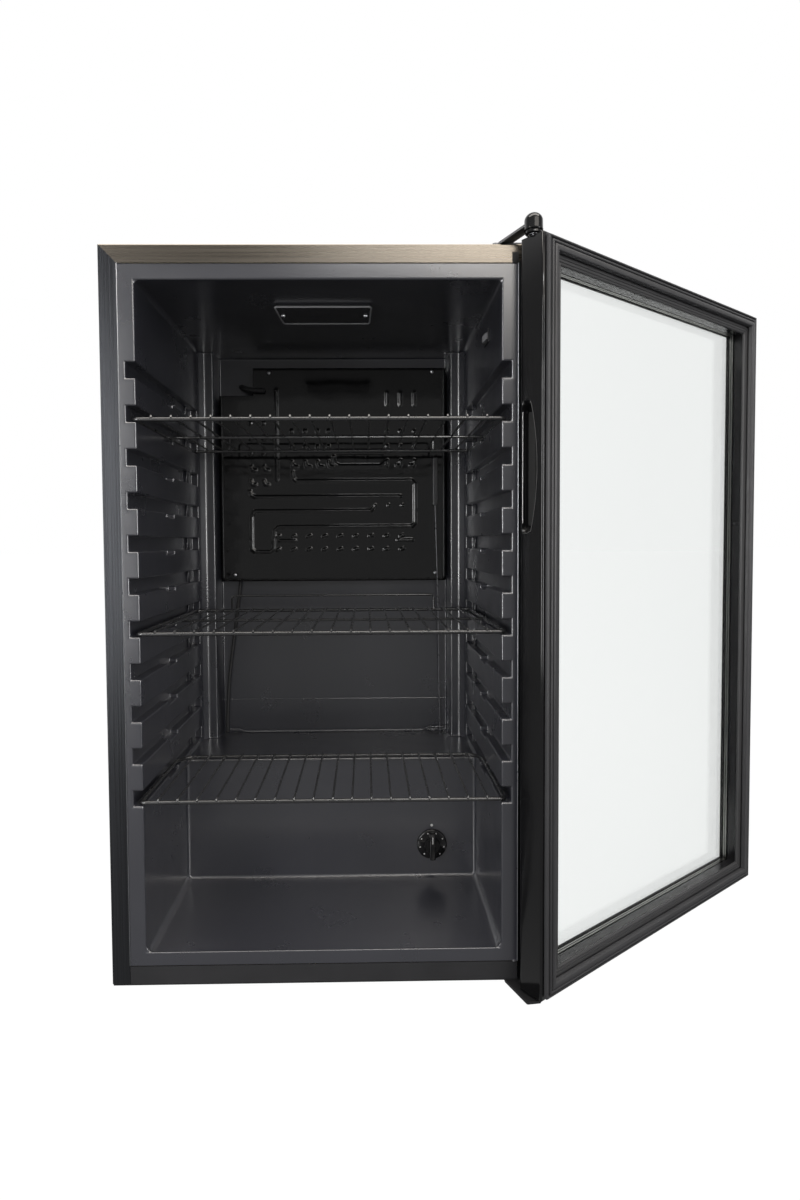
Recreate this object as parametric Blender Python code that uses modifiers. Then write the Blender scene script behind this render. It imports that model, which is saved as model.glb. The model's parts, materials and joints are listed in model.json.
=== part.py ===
"""Glass door merchandiser: a counter-height refrigerated display cabinet with one glazed door.

Cabinet coordinates, in metres: X is 0 on the cabinet's centre line and positive to the right as
seen from the front, Y is 0 on the front face of the steel casing and positive to the back, Z is 0
on the casing's lower edge. The feet reach below that. The door is modelled shut in the same
coordinates and hangs from an empty on its hinge axis, which swings it to its stored, open place.
At the end the whole cabinet is stood on Z = 0 with the centre of its bounding box over the origin.
"""

import math

import bmesh
import bpy
from mathutils import Matrix, Vector

# ---------------------------------------------------------------- driving dimensions
WIDTH = 0.480
HEIGHT = 0.825
DEPTH = 0.400
FOOT_HEIGHT = 0.015
SHEET = 0.0008
GAP = 0.0003

BAND = 0.020  # width of the casing's folded front border
PLINTH_TOP = 0.0203

# cavity of the inner liner
LINER = 0.0015
FLANGE_FRONT = 0.001
WALL_X = 0.2015
CEILING_Z = 0.787
OPENING_SILL_Z = 0.037
FLOOR_Z = 0.030
STEP_FRONT_Y = 0.192
STEP_TOP_Z = 0.199
WALL_END_Y = 0.287
BACK_Y = 0.336
COLUMN_X = 0.192
RECESS_X = 0.180
OPENING_RADIUS = 0.009

# shelf grooves in both side walls
GROOVES = 11
GROOVE_PITCH = 0.0477
TOP_GROOVE_FLOOR_Z = 0.681
GROOVE_HEIGHT = 0.0173
GROOVE_X = 0.2125
POCKET_Y = (0.110, 0.152)
POCKET_DROP = 0.005

# machine compartment, behind and below the step
MACHINE_FRONT_Y = 0.2365
MACHINE_TOP_Z = 0.1745
MACHINE_SLOPE_Z = 0.150
MACHINE_SLOPE_Y = 0.262

# shelves
SHELF_HALF = 0.2085
SHELF_WIRE = 0.0024
ROD_WIRE = 0.0014
RODS = 18
ROD_SPAN = 0.372
SHELF_FRONT_Y = 0.0045
DEEP_SHELF = 0.281
SHORT_SHELF = 0.176
UPSTAND_HALF = 0.152
UPSTAND_HEIGHT = 0.019

# door, as it stands when shut
DOOR_HALF = 0.236
DOOR_BOTTOM = -0.001
DOOR_TOP = 0.8225
DOOR_INNER_Y = -0.0066
DOOR_THICK = 0.0315
DOOR_OUTER_Y = DOOR_INNER_Y - DOOR_THICK
TRIM = 0.012  # thickness of the glossy edge trims
RAIL = 0.030  # width of the frame, edge trim included
LIP_DEPTH = 0.014  # frame between its inner face and the inner pane
PANE = 0.004
PIVOT_X = 0.2304
PIVOT_Y = -0.0246
PIN_RADIUS = 0.0025
OPEN_ANGLE = math.radians(217.0)

# finger grip in each edge trim: a D-shaped recess
GRIP_Z = (0.508, 0.650)
GRIP_DEPTH = 0.009
GRIP_FLAT = 0.0275  # from the door's inner face to the recess's straight side
GRIP_BULGE = 0.0195

# evaporator on the back wall
PLATE_Y = 0.3205
PLATE_THICK = 0.0016
PLATE_HALF = 0.1745
PLATE_Z = (0.440, 0.769)
PLATE_NOTCH = (-0.123, 0.727)

KNOB = (0.140, 0.0757)
KNOB_RADIUS = 0.021
SWITCH = (0.094, 0.750)
LAMP_Y = (0.081, 0.146)
LAMP_HALF = 0.0585
LINE_HOLE = (-0.142, 0.742)
DRAIN_Y = 0.325
COMPRESSOR = (0.0, 0.318)


# ---------------------------------------------------------------- scene and helpers
def clear_scene():
    for obj in list(bpy.data.objects):
        bpy.data.objects.remove(obj)


def collection(name):
    made = bpy.data.collections.new(name)
    bpy.context.scene.collection.children.link(made)
    return made


def material(name, colour, roughness, metallic=0.0, alpha=1.0):
    mat = bpy.data.materials.new(name)
    mat.use_nodes = True
    shader = mat.node_tree.nodes["Principled BSDF"]
    shader.inputs["Base Color"].default_value = (*colour, 1.0)
    shader.inputs["Roughness"].default_value = roughness
    shader.inputs["Metallic"].default_value = metallic
    shader.inputs["Alpha"].default_value = alpha
    mat.diffuse_color = (*colour, alpha)
    return mat


clear_scene()
PARTS = collection("glass_door_merchandiser")
CUTTERS = collection("cutters")

STEEL = material("brushed_black_steel", (0.09, 0.085, 0.08), 0.35, 0.9)
LINER_ABS = material("graphite_liner", (0.045, 0.047, 0.058), 0.45)
FOAM = material("insulation_foam", (0.75, 0.66, 0.42), 0.9)
BLACK_METAL = material("black_coated_metal", (0.02, 0.02, 0.021), 0.4, 0.3)
BLACK_MATTE = material("black_matte_plastic", (0.022, 0.022, 0.024), 0.5)
BLACK_GLOSS = material("black_gloss_plastic", (0.012, 0.012, 0.013), 0.12)
RUBBER = material("black_rubber", (0.03, 0.03, 0.032), 0.7)
GLASS = material("clear_glass", (0.8, 0.85, 0.83), 0.03, 0.0, 0.3)
ALUMINIUM = material("aluminium", (0.55, 0.55, 0.55), 0.3, 1.0)
ZINC = material("zinc_plated_steel", (0.6, 0.6, 0.6), 0.35, 1.0)
COPPER = material("copper", (0.72, 0.36, 0.2), 0.35, 1.0)
LENS = material("clear_lens", (0.7, 0.7, 0.7), 0.15, 0.0, 0.5)
WHITE = material("white_plastic", (0.8, 0.8, 0.78), 0.4)


def place(obj, mat, parent):
    """Puts a new object in the parts collection, under the cabinet or the door axis."""
    for old in list(obj.users_collection):
        old.objects.unlink(obj)
    PARTS.objects.link(obj)
    obj.parent = parent or CABINET
    if parent is DOOR_AXIS:
        obj.matrix_parent_inverse = Matrix.Translation((-PIVOT_X, -PIVOT_Y, 0.0))
    if mat:
        obj.data.materials.clear()
        obj.data.materials.append(mat)
    return obj


def add(name, data, mat=None, parent=None, at=(0, 0, 0), turn=(0, 0, 0)):
    obj = bpy.data.objects.new(name, data)
    obj.location = at
    obj.rotation_euler = turn
    return place(obj, mat, parent)


def empty(name, at=(0, 0, 0), parent=None):
    obj = bpy.data.objects.new(name, None)
    obj.location = at
    obj.parent = parent
    PARTS.objects.link(obj)
    return obj


CABINET = empty("cabinet_frame")
DOOR_AXIS = empty("door_hinge_axis", (PIVOT_X, PIVOT_Y, 0.0), CABINET)
DOOR_AXIS.rotation_euler = (0.0, 0.0, OPEN_ANGLE)


def box(name, low, high, mat=None, parent=None, bevel=0.0, segments=2):
    """A box between two corners, with rounded edges where bevel is given."""
    low, high = Vector(low), Vector(high)
    mesh = bpy.data.meshes.new(name)
    bm = bmesh.new()
    bmesh.ops.create_cube(bm, size=1.0)
    bmesh.ops.scale(bm, vec=high - low, verts=bm.verts)
    bm.to_mesh(mesh)
    bm.free()
    obj = add(name, mesh, mat, parent, at=(low + high) / 2)
    if bevel:
        rounded = obj.modifiers.new("rounded_edges", "BEVEL")
        rounded.width = bevel
        rounded.segments = segments
        rounded.limit_method = "ANGLE"
    return obj


def cylinder(name, centre, radius, length, axis="Z", mat=None, parent=None, sides=24):
    mesh = bpy.data.meshes.new(name)
    bm = bmesh.new()
    bmesh.ops.create_cone(
        bm, cap_ends=True, segments=sides, radius1=radius, radius2=radius, depth=length
    )
    bm.to_mesh(mesh)
    bm.free()
    mesh.shade_smooth()
    mesh.set_sharp_from_angle(angle=math.radians(40))
    turn = {"X": (0, math.pi / 2, 0), "Y": (math.pi / 2, 0, 0), "Z": (0, 0, 0)}[axis]
    return add(name, mesh, mat, parent, at=centre, turn=turn)


def turned(name, profile, at, mat=None, parent=None, turn=(0, 0, 0), steps=24, closed=False):
    """A solid of revolution about local Z. The profile runs (radius, height) from top to bottom."""
    mesh = bpy.data.meshes.new(name)
    points = [(r, 0.0, z) for r, z in profile]
    edges = [(i, i + 1) for i in range(len(points) - 1)]
    if closed:
        edges.append((len(points) - 1, 0))
    mesh.from_pydata(points, edges, [])
    obj = add(name, mesh, mat, parent, at, turn)
    screw = obj.modifiers.new("turned", "SCREW")
    screw.steps = screw.render_steps = steps
    screw.use_merge_vertices = True
    screw.merge_threshold = 0.00001
    screw.use_smooth_shade = True
    return obj


PLANE_TURN = {
    "XY": (0, 0, 0),  # outline in X and Y, thick along Z
    "XZ": (math.pi / 2, 0, 0),  # outline in X and Z, thick along Y
    "YZ": (math.pi / 2, 0, math.pi / 2),  # outline in Y and Z, thick along X
}


def as_mesh(obj):
    """The same shape as a welded mesh object, which Boolean modifiers can use."""
    bpy.context.view_layer.update()
    graph = bpy.context.evaluated_depsgraph_get()
    mesh = bpy.data.meshes.new_from_object(obj.evaluated_get(graph))
    bm = bmesh.new()
    bm.from_mesh(mesh)
    bmesh.ops.remove_doubles(bm, verts=bm.verts, dist=0.00001)
    bmesh.ops.recalc_face_normals(bm, faces=bm.faces)
    bm.to_mesh(mesh)
    bm.free()
    name, mat, parent = obj.name, obj.active_material, obj.parent
    at, turn = obj.location.copy(), obj.rotation_euler.copy()
    bpy.data.objects.remove(obj)
    return add(name, mesh, mat, parent, at, turn)


def prism(name, outline, plane, low, high, mat=None, parent=None):
    """A flat outline given thickness between low and high along the axis across its plane."""
    curve = bpy.data.curves.new(name, "CURVE")
    curve.dimensions = "2D"
    curve.fill_mode = "BOTH"
    curve.extrude = (high - low) / 2
    spline = curve.splines.new("POLY")
    spline.points.add(len(outline) - 1)
    for point, (u, v) in zip(spline.points, outline):
        point.co = (u, v, 0.0, 1.0)
    spline.use_cyclic_u = True
    middle = (low + high) / 2
    at = {"XY": (0, 0, middle), "XZ": (0, middle, 0), "YZ": (middle, 0, 0)}[plane]
    return as_mesh(add(name, curve, mat, parent, at, PLANE_TURN[plane]))


def rounded(corners, radius, steps=4):
    """An outline whose corners are arcs; radius is one number or one for each corner."""
    radii = radius if isinstance(radius, (list, tuple)) else [radius] * len(corners)
    outline = []
    for i, corner in enumerate(corners):
        here, r = Vector(corner), radii[i]
        if r <= 0:
            outline.append(tuple(here))
            continue
        before = (Vector(corners[i - 1]) - here).normalized()
        after = (Vector(corners[(i + 1) % len(corners)]) - here).normalized()
        half = before.angle(after) / 2
        centre = here + (before + after).normalized() * (r / math.sin(half))
        start = here + before * (r / math.tan(half)) - centre
        sweep = start.angle_signed(here + after * (r / math.tan(half)) - centre)
        for k in range(steps + 1):
            outline.append(tuple(centre + Matrix.Rotation(-sweep * k / steps, 2) @ start))
    return outline


def rectangle(x, low, high):
    return [(-x, low), (x, low), (x, high), (-x, high)]


def tube(name, points, radius, mat=None, parent=None, resolution=2, closed=False):
    """A round wire or tube along a route, with filled ends."""
    curve = bpy.data.curves.new(name, "CURVE")
    curve.dimensions = "3D"
    curve.bevel_depth = radius
    curve.bevel_resolution = resolution
    curve.use_fill_caps = not closed
    spline = curve.splines.new("POLY")
    spline.points.add(len(points) - 1)
    for point, place_at in zip(spline.points, points):
        point.co = (*place_at, 1.0)
    spline.use_cyclic_u = closed
    spline.use_smooth = True
    return add(name, curve, mat, parent)


def smooth_route(points, each=6):
    """Points along a Catmull-Rom curve through the route's own points."""
    ends = [2 * Vector(points[0]) - Vector(points[1]), 2 * Vector(points[-1]) - Vector(points[-2])]
    p = [ends[0], *map(Vector, points), ends[1]]
    route = []
    for i in range(1, len(p) - 2):
        for k in range(each):
            t = k / each
            route.append(
                0.5 * (2 * p[i] + (p[i + 1] - p[i - 1]) * t
                       + (2 * p[i - 1] - 5 * p[i] + 4 * p[i + 1] - p[i + 2]) * t ** 2
                       + (3 * p[i] - p[i - 1] - 3 * p[i + 1] + p[i + 2]) * t ** 3)
            )
    return [*route, p[-2]]


def boolean(obj, other, operation):
    """Adds or cuts other, which is kept as a hidden wireframe guide."""
    modifier = obj.modifiers.new(other.name, "BOOLEAN")
    modifier.operation = operation
    modifier.object = other
    for old in list(other.users_collection):
        old.objects.unlink(other)
    CUTTERS.objects.link(other)
    other.hide_render = True
    other.display_type = "WIRE"


def cut(obj, *others):
    for other in others:
        boolean(obj, other, "DIFFERENCE")
    return obj


def unite(obj, *others):
    for other in others:
        boolean(obj, other, "UNION")
    return obj


# ---------------------------------------------------------------- casing
def outer_wrapper():
    """Top and both sides in one folded sheet, with the front border turned in."""
    half = WIDTH / 2
    shell = box("outer_wrapper", (-half, 0, 0), (half, DEPTH, HEIGHT), STEEL, bevel=0.0012)
    cut(
        shell,
        box("wrapper_hollow", (SHEET - half, SHEET, -0.01),
            (half - SHEET, DEPTH + 0.01, HEIGHT - SHEET)),
        box("wrapper_mouth", (BAND - half, -0.01, -0.01), (half - BAND, 0.002, HEIGHT - BAND)),
    )
    return shell


def machine_profile(clear):
    """The machine compartment's front and roof, and the back, as (Y, Z); clear moves it inward."""
    return [
        (MACHINE_FRONT_Y - clear, 0.0003),
        (MACHINE_FRONT_Y - clear, MACHINE_SLOPE_Z + clear / 2),
        (MACHINE_SLOPE_Y - clear / 2, MACHINE_TOP_Z + clear),
        (DEPTH - 0.0013 - clear, MACHINE_TOP_Z + clear),
        (DEPTH - 0.0013 - clear, HEIGHT - 0.0014),
    ]


def rear_panel():
    """Back sheet, bent forward over the machine compartment and down its front."""
    name, half = "rear_panel", WIDTH / 2 - SHEET - GAP
    line = machine_profile(0.0)
    mesh = bpy.data.meshes.new(name)
    bm = bmesh.new()
    verts = [bm.verts.new((-half, y, z)) for y, z in line]
    edges = [bm.edges.new(pair) for pair in zip(verts, verts[1:])]
    swept = bmesh.ops.extrude_edge_only(bm, edges=edges)["geom"]
    moved = [v for v in swept if isinstance(v, bmesh.types.BMVert)]
    bmesh.ops.translate(bm, verts=moved, vec=(2 * half, 0, 0))
    bm.to_mesh(mesh)
    bm.free()
    panel = add(name, mesh, BLACK_METAL)
    sheet = panel.modifiers.new("sheet", "SOLIDIFY")
    sheet.thickness = SHEET
    sheet.offset = 0.0
    sheet.use_even_offset = True
    hole_x, hole_z = LINE_HOLE
    cut(
        panel,
        cylinder("line_hole", (hole_x, DEPTH, hole_z), 0.006, 0.02, "Y"),
        cylinder("drain_hole_in_panel", (0, DRAIN_Y, MACHINE_TOP_Z), 0.007, 0.02),
    )
    return panel


def base_tray():
    half = WIDTH / 2 - 0.001
    return box("base_tray", (-half, 0.001, -0.0015), (half, DEPTH - 0.001, -GAP), BLACK_METAL)


def front_plinth():
    """An angle section closing the cabinet's front below the liner."""
    front, sheet, back = 0.0004, 0.0012, 0.020
    section = [
        (front, GAP), (back, GAP), (back, GAP + sheet),
        (front + sheet, GAP + sheet), (front + sheet, PLINTH_TOP), (front, PLINTH_TOP),
    ]
    half = WIDTH / 2 - BAND - 0.0004
    return prism("front_plinth", section, "YZ", -half, half, BLACK_MATTE)


def feet():
    profile = [(0, -0.0018), (0.005, -0.0018), (0.005, -0.007), (0.014, -0.008),
               (0.016, -0.0145), (0.0155, -FOOT_HEIGHT), (0, -FOOT_HEIGHT)]
    for side, x in (("left", -0.200), ("right", 0.200)):
        for end, y in (("front", 0.048), ("rear", 0.365)):
            turned(f"foot_{end}_{side}", profile, (x, y, 0), RUBBER, steps=20)


# ---------------------------------------------------------------- liner and insulation
def groove_floor(k):
    """Height of groove k's floor, counted from 0 at the top."""
    return TOP_GROOVE_FLOOR_Z - k * GROOVE_PITCH


def repeated(obj, count, offset):
    """Repeats a cutter at equal steps."""
    array = obj.modifiers.new("repeated", "ARRAY")
    array.use_relative_offset = False
    array.use_constant_offset = True
    array.constant_offset_displace = offset
    array.count = count
    return obj


def cavity(grow, groove_front, front, label, grooved=True):
    """Overlapping solids which together fill the cavity, grown outward by grow.

    Without grooves, the shelf zone is as wide as the grooves would reach.
    """
    low, high = STEP_TOP_Z - grow, CEILING_Z + grow
    side, recess = WALL_X - 0.0017 + grow, RECESS_X + grow
    lowest = groove_floor(GROOVES - 1)
    up = (0, 0, GROOVE_PITCH)
    stagger = 0.0004  # keeps the solids' faces out of each other's planes
    reach = GROOVE_X + grow
    zone_x = WALL_X + grow if grooved else reach
    zone = box(f"{label}_shelf_zone", (-zone_x, front, low),
               (zone_x, WALL_END_Y + 0.001 + grow, high))
    shelf_room = [zone]
    if grooved:
        grooves = box(f"{label}_grooves", (-reach, groove_front + stagger, lowest - grow),
                      (reach, WALL_END_Y + grow, lowest + GROOVE_HEIGHT + grow))
        reach -= 0.0012
        pockets = box(f"{label}_pockets",
                      (-reach, POCKET_Y[0] - grow, lowest - POCKET_DROP - grow),
                      (reach, POCKET_Y[1] + grow, lowest + 0.004))
        shelf_room += [repeated(grooves, GROOVES, up), repeated(pockets, GROOVES, up)]
    well = prism(
        f"{label}_well",
        rounded(rectangle(WALL_X + grow - stagger, FLOOR_Z - grow, STEP_TOP_Z + 0.003),
                [0.007, 0.007, 0, 0]),
        "XZ", front - stagger, STEP_FRONT_Y + grow,
    )
    right = [(side, 0.280), (side, WALL_END_Y + 0.004), (COLUMN_X + grow, WALL_END_Y + 0.012),
             (recess, WALL_END_Y + 0.012 + grow), (recess - 0.003, BACK_Y + grow)]
    rear = prism(
        f"{label}_rear", right + [(-x, y) for x, y in reversed(right)],
        "XY", low + stagger, high - stagger,
    )
    return (*shelf_room, well, rear)


def inner_liner():
    """Formed plastic lining: flange, walls with shelf grooves, step over the machinery, back."""
    flange_x, flange_top = WIDTH / 2 - BAND - 0.0004, HEIGHT - BAND - 0.0004
    liner = box("inner_liner", (-flange_x, FLANGE_FRONT, PLINTH_TOP + 0.0005),
                (flange_x, FLANGE_FRONT + LINER, flange_top), LINER_ABS)
    behind_flange = FLANGE_FRONT + LINER / 2
    unite(liner, *cavity(LINER, behind_flange, behind_flange, "liner_outside"))
    mouth = prism(
        "liner_mouth",
        rounded(rectangle(WALL_X - 0.0002, OPENING_SILL_Z, CEILING_Z - 0.0002), OPENING_RADIUS),
        "XZ", -0.01, 0.0065,
    )
    cut(liner, mouth, *cavity(0.0, -0.01, 0.0060, "liner_inside"))
    hole_x, hole_z = LINE_HOLE
    switch_y, switch_z = SWITCH
    lamp_mid = sum(LAMP_Y) / 2
    cut(
        liner,
        cylinder("shaft_hole", (KNOB[0], STEP_FRONT_Y, KNOB[1]), 0.0045, 0.02, "Y"),
        cylinder("line_hole_in_liner", (hole_x, BACK_Y, hole_z), 0.006, 0.02, "Y"),
        cylinder("drain_hole_in_liner", (0, DRAIN_Y, STEP_TOP_Z), 0.0055, 0.02),
        box("lamp_hole", (-0.048, lamp_mid - 0.022, CEILING_Z - 0.01),
            (0.048, lamp_mid + 0.022, CEILING_Z + 0.01)),
        box("switch_hole", (WALL_X - 0.01, switch_y - 0.0128, switch_z - 0.0053),
            (WALL_X + 0.01, switch_y + 0.0128, switch_z + 0.0053)),
    )
    return liner


def insulation_foam():
    """Foam between the liner and the casing, with pockets for what is let into it."""
    front = FLANGE_FRONT + LINER + GAP
    half = WIDTH / 2 - SHEET - GAP
    bottom = 0.0024
    _, *machine = machine_profile(0.0008)
    outline = [(front, bottom), (machine[0][0], bottom), *machine, (front, HEIGHT - 0.0014)]
    foam = prism("insulation_foam", outline, "YZ", -half, half, FOAM)
    grow = LINER + GAP
    hole_x, hole_z = LINE_HOLE
    switch_y, switch_z = SWITCH
    lamp_mid = sum(LAMP_Y) / 2
    cut(foam, *cavity(grow, -0.01, -0.01, "foam", grooved=False))
    cut(
        foam,
        box("plinth_room", (-WIDTH / 2, -0.01, -0.01), (WIDTH / 2, 0.0206, 0.0207)),
        box("thermostat_pocket", (KNOB[0] - 0.026, STEP_FRONT_Y - 0.005, KNOB[1] - 0.028),
            (KNOB[0] + 0.026, 0.2305, KNOB[1] + 0.028)),
        box("lamp_pocket", (-0.0485, lamp_mid - 0.0225, CEILING_Z - 0.005),
            (0.0485, lamp_mid + 0.0225, CEILING_Z + 0.0165)),
        box("switch_pocket", (WALL_X - 0.005, switch_y - 0.014, switch_z - 0.007),
            (WALL_X + 0.0245, switch_y + 0.014, switch_z + 0.007)),
        cylinder("line_passage", (hole_x, DEPTH - 0.03, hole_z), 0.0055, 0.1, "Y"),
        cylinder("drain_passage", (0, DRAIN_Y, STEP_TOP_Z - 0.01), 0.0068, 0.06),
    )
    return foam


# ---------------------------------------------------------------- refrigeration
def evaporator():
    """Roll-bond plate with its notch, the line that enters there, sensor and cable."""
    notch_x, notch_z = PLATE_NOTCH
    low, high = PLATE_Z
    corners = [(-PLATE_HALF, low), (PLATE_HALF, low), (PLATE_HALF, high), (notch_x, high),
               (notch_x, notch_z), (-PLATE_HALF, notch_z)]
    prism("evaporator_plate", rounded(corners, [0.010, 0.010, 0.004, 0.004, 0, 0.003], 3),
          "XZ", PLATE_Y, PLATE_Y + PLATE_THICK, BLACK_GLOSS)

    x, z = LINE_HOLE
    front = PLATE_Y - 0.0048
    line = [(-0.106, front, 0.7340), (-0.120, front, 0.7345), (-0.132, front + 0.001, 0.7365),
            (x + 0.002, front + 0.007, z - 0.0015), (x, BACK_Y - 0.002, z),
            (x, BACK_Y + 0.012, z), (x, DEPTH - 0.004, z)]
    tube("evaporator_line", smooth_route(line, 4), 0.0040, COPPER)

    box("sensor_holder", (0.1545, PLATE_Y - 0.0090, 0.557), (0.1615, PLATE_Y - GAP, 0.630),
        BLACK_MATTE, bevel=0.0012)
    capillary = [(0.158, PLATE_Y - 0.0045, 0.5562), (0.159, PLATE_Y - 0.004, 0.520),
                 (0.161, PLATE_Y - 0.003, 0.450), (0.163, PLATE_Y + 0.002, 0.380),
                 (0.1645, 0.331, 0.290), (0.166, 0.332, STEP_TOP_Z + 0.0006)]
    tube("sensor_capillary", smooth_route(capillary, 4), 0.0010, ZINC)

    cable = [(-0.146, 0.331, 0.468), (-0.149, 0.331, 0.428), (-0.158, 0.3315, 0.360),
             (-0.167, 0.3315, 0.290), (-0.171, 0.332, 0.230), (-0.1715, 0.332, STEP_TOP_Z + 0.0006)]
    tube("evaporator_cable", smooth_route(cable, 4), 0.0024, RUBBER)


def compressor():
    """Hermetic compressor on rubber grommets, with its relay cover."""
    x, y = COMPRESSOR
    top, foot = 0.132, 0.0155
    dome = [(0, top), (0.020, top - 0.0015), (0.038, top - 0.008), (0.052, top - 0.022),
            (0.058, top - 0.040), (0.0585, 0.068), (0.0605, 0.066), (0.0605, 0.063),
            (0.0585, 0.061), (0.057, 0.040), (0.048, 0.024), (0.034, foot), (0, foot)]
    turned("compressor_shell", dome, (x, y, 0), BLACK_METAL, steps=32)
    plate = rounded([(-0.088, -0.046), (0.088, -0.046), (0.088, 0.046), (-0.088, 0.046)], 0.010, 3)
    base = prism("compressor_base", [(x + u, y + v) for u, v in plate], "XY",
                 0.0122, foot - GAP, BLACK_METAL)
    n = 0
    for u in (-0.076, 0.076):
        for v in (-0.034, 0.034):
            n += 1
            cut(base, cylinder("grommet_hole", (x + u, y + v, 0.014), 0.0053, 0.02))
            grommet = [(0, 0.0185), (0.0045, 0.0185), (0.0045, 0.0118), (0.009, 0.0118),
                       (0.009, 0.0004), (0, 0.0004)]
            turned(f"compressor_grommet_{n}", grommet, (x + u, y + v, 0), RUBBER, steps=16)
    box("relay_cover", (x + 0.0622, y - 0.030, 0.045), (x + 0.098, y + 0.034, 0.098),
        BLACK_MATTE, bevel=0.004)
    gland = [(0.0045, 0.012), (0.007, 0.012), (0.008, 0.004), (0.010, 0.004), (0.010, 0.0),
             (0.0045, 0.0)]
    turned("cord_gland", gland, (x + 0.080, y + 0.0343, 0.072), RUBBER,
           turn=(-math.pi / 2, 0, 0), steps=20, closed=True)


def serpentine(half, low, rows, pitch, y, bend_steps=5):
    """Route of a coil that runs to and fro across the back, from the bottom row upward."""
    radius = pitch / 2
    route = []
    for row in range(rows):
        side = 1 if row % 2 == 0 else -1
        z = low + row * pitch
        route += [(-side * half, y, z), (side * half, y, z)]
        if row < rows - 1:
            for k in range(1, bend_steps):
                angle = -math.pi / 2 + math.pi * k / bend_steps
                route.append((side * (half + radius * math.cos(angle)), y,
                              z + radius + radius * math.sin(angle)))
    return route


def condenser():
    """Tube coil on the back, its drier, and the line back to the compressor."""
    x, y = COMPRESSOR
    coil_y, half, low, pitch, rows = DEPTH + 0.0165, 0.182, 0.215, 0.042, 14
    coil = serpentine(half, low, rows, pitch, coil_y)
    start = [(x + 0.030, y + 0.0562, 0.058), (x + 0.040, y + 0.070, 0.060),
             (x + 0.060, coil_y - 0.012, 0.085), (x + 0.060, coil_y, 0.120),
             (x + 0.040, coil_y, 0.185), (-half * 0.2, coil_y, low - 0.012)]
    tube("condenser_coil", [*smooth_route(start, 4), *coil], 0.0024, BLACK_METAL)

    drier = [(0, 0.060), (0.0025, 0.060), (0.003, 0.048), (0.009, 0.042), (0.009, -0.042),
             (0.003, -0.048), (0.0025, -0.060), (0, -0.060)]
    turned("filter_drier", drier, (-0.160, 0.350, 0.088), COPPER, steps=20)

    hole_x, hole_z = LINE_HOLE
    run_y = DEPTH + 0.0045
    line = [(x - 0.0595, y + 0.020, 0.058), (x - 0.075, y + 0.034, 0.058),
            (x - 0.096, y + 0.055, 0.064), (x - 0.110, y + 0.074, 0.090),
            (x - 0.118, run_y, 0.130), (x - 0.122, run_y, 0.200), (x - 0.126, run_y, 0.340),
            (x - 0.132, run_y, 0.500), (x - 0.138, run_y, 0.640), (hole_x, run_y, hole_z - 0.030),
            (hole_x, run_y - 0.001, hole_z - 0.010), (hole_x, run_y - 0.004, hole_z - 0.001)]
    tube("suction_line", smooth_route(line, 4), 0.0030, COPPER)


def drainage():
    """Meltwater runs through the tube into a pan that the compressor warms."""
    x, y = COMPRESSOR
    pan = box("drip_tray", (x - 0.080, y - 0.050, 0.136), (x + 0.080, y + 0.046, 0.158),
              BLACK_MATTE, bevel=0.003)
    cut(pan, box("tray_hollow", (x - 0.0785, y - 0.0485, 0.1375), (x + 0.0785, y + 0.0445, 0.17)))
    wall = [(0.0038, 0.1975), (0.0050, 0.1975), (0.0050, 0.148), (0.0038, 0.148)]
    turned("drain_tube", wall, (0, DRAIN_Y, 0), WHITE, steps=16, closed=True)


# ---------------------------------------------------------------- lamp, switch, thermostat
def lamp():
    """LED lamp let into the ceiling: housing, board, clear cover and its two screws."""
    mid = sum(LAMP_Y) / 2
    housing = box("lamp_housing", (-0.0475, mid - 0.0215, CEILING_Z + 0.0003),
                  (0.0475, mid + 0.0215, CEILING_Z + 0.016), WHITE)
    cut(housing, box("lamp_hollow", (-0.0460, mid - 0.0200, CEILING_Z - 0.01),
                     (0.0460, mid + 0.0200, CEILING_Z + 0.0145)))
    board = box("lamp_board", (-0.042, mid - 0.012, CEILING_Z + 0.0126),
                (0.042, mid + 0.012, CEILING_Z + 0.0142), WHITE)
    leds = [
        box("led", (x - 0.002, mid - 0.002, CEILING_Z + 0.0116),
            (x + 0.002, mid + 0.002, CEILING_Z + 0.0130))
        for x in (-0.033, -0.0165, 0.0, 0.0165, 0.033)
    ]
    unite(board, *leds)
    corners = [(-LAMP_HALF, LAMP_Y[0]), (LAMP_HALF, LAMP_Y[0]), (LAMP_HALF, LAMP_Y[1]),
               (-LAMP_HALF, LAMP_Y[1])]
    prism("lamp_cover", rounded(corners, 0.006), "XY", CEILING_Z - 0.0035, CEILING_Z - GAP, LENS)
    head = [(0, -0.0002), (0.0030, -0.0002), (0.0028, -0.0012), (0.0016, -0.0020), (0, -0.0022)]
    for side, x in (("left", -0.0515), ("right", 0.0515)):
        turned(f"lamp_screw_{side}", head, (x, mid, CEILING_Z - 0.0036), ZINC, steps=14)


def light_switch():
    """Rocker switch in the right-hand wall; the rocker turns about its upright pivot."""
    y, z = SWITCH
    housing = box("light_switch_housing", (WALL_X - 0.0018, y - 0.015, z - 0.0075),
                  (WALL_X - GAP, y + 0.015, z + 0.0075), BLACK_MATTE)
    body = box("switch_body", (WALL_X - 0.0010, y - 0.0125, z - 0.0050),
               (WALL_X + 0.022, y + 0.0125, z + 0.0050))
    room = box("rocker_room", (WALL_X - 0.01, y - 0.0108, z - 0.0043),
               (WALL_X + 0.009, y + 0.0108, z + 0.0043))
    cut(unite(housing, body), room)
    axis_x, tilt = WALL_X + 0.0005, math.radians(6)
    keel = [(-0.0045, -0.0098), (-0.0045, 0.0098), (0.0005, 0.0095), (0.0035, 0.0040),
            (0.0035, -0.0040), (0.0005, -0.0095)]
    rocker = prism("light_switch_rocker", keel, "XY", -0.0040, 0.0040, WHITE)
    rocker.location = (axis_x, y, z)
    rocker.rotation_euler = (0, 0, tilt)


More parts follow.
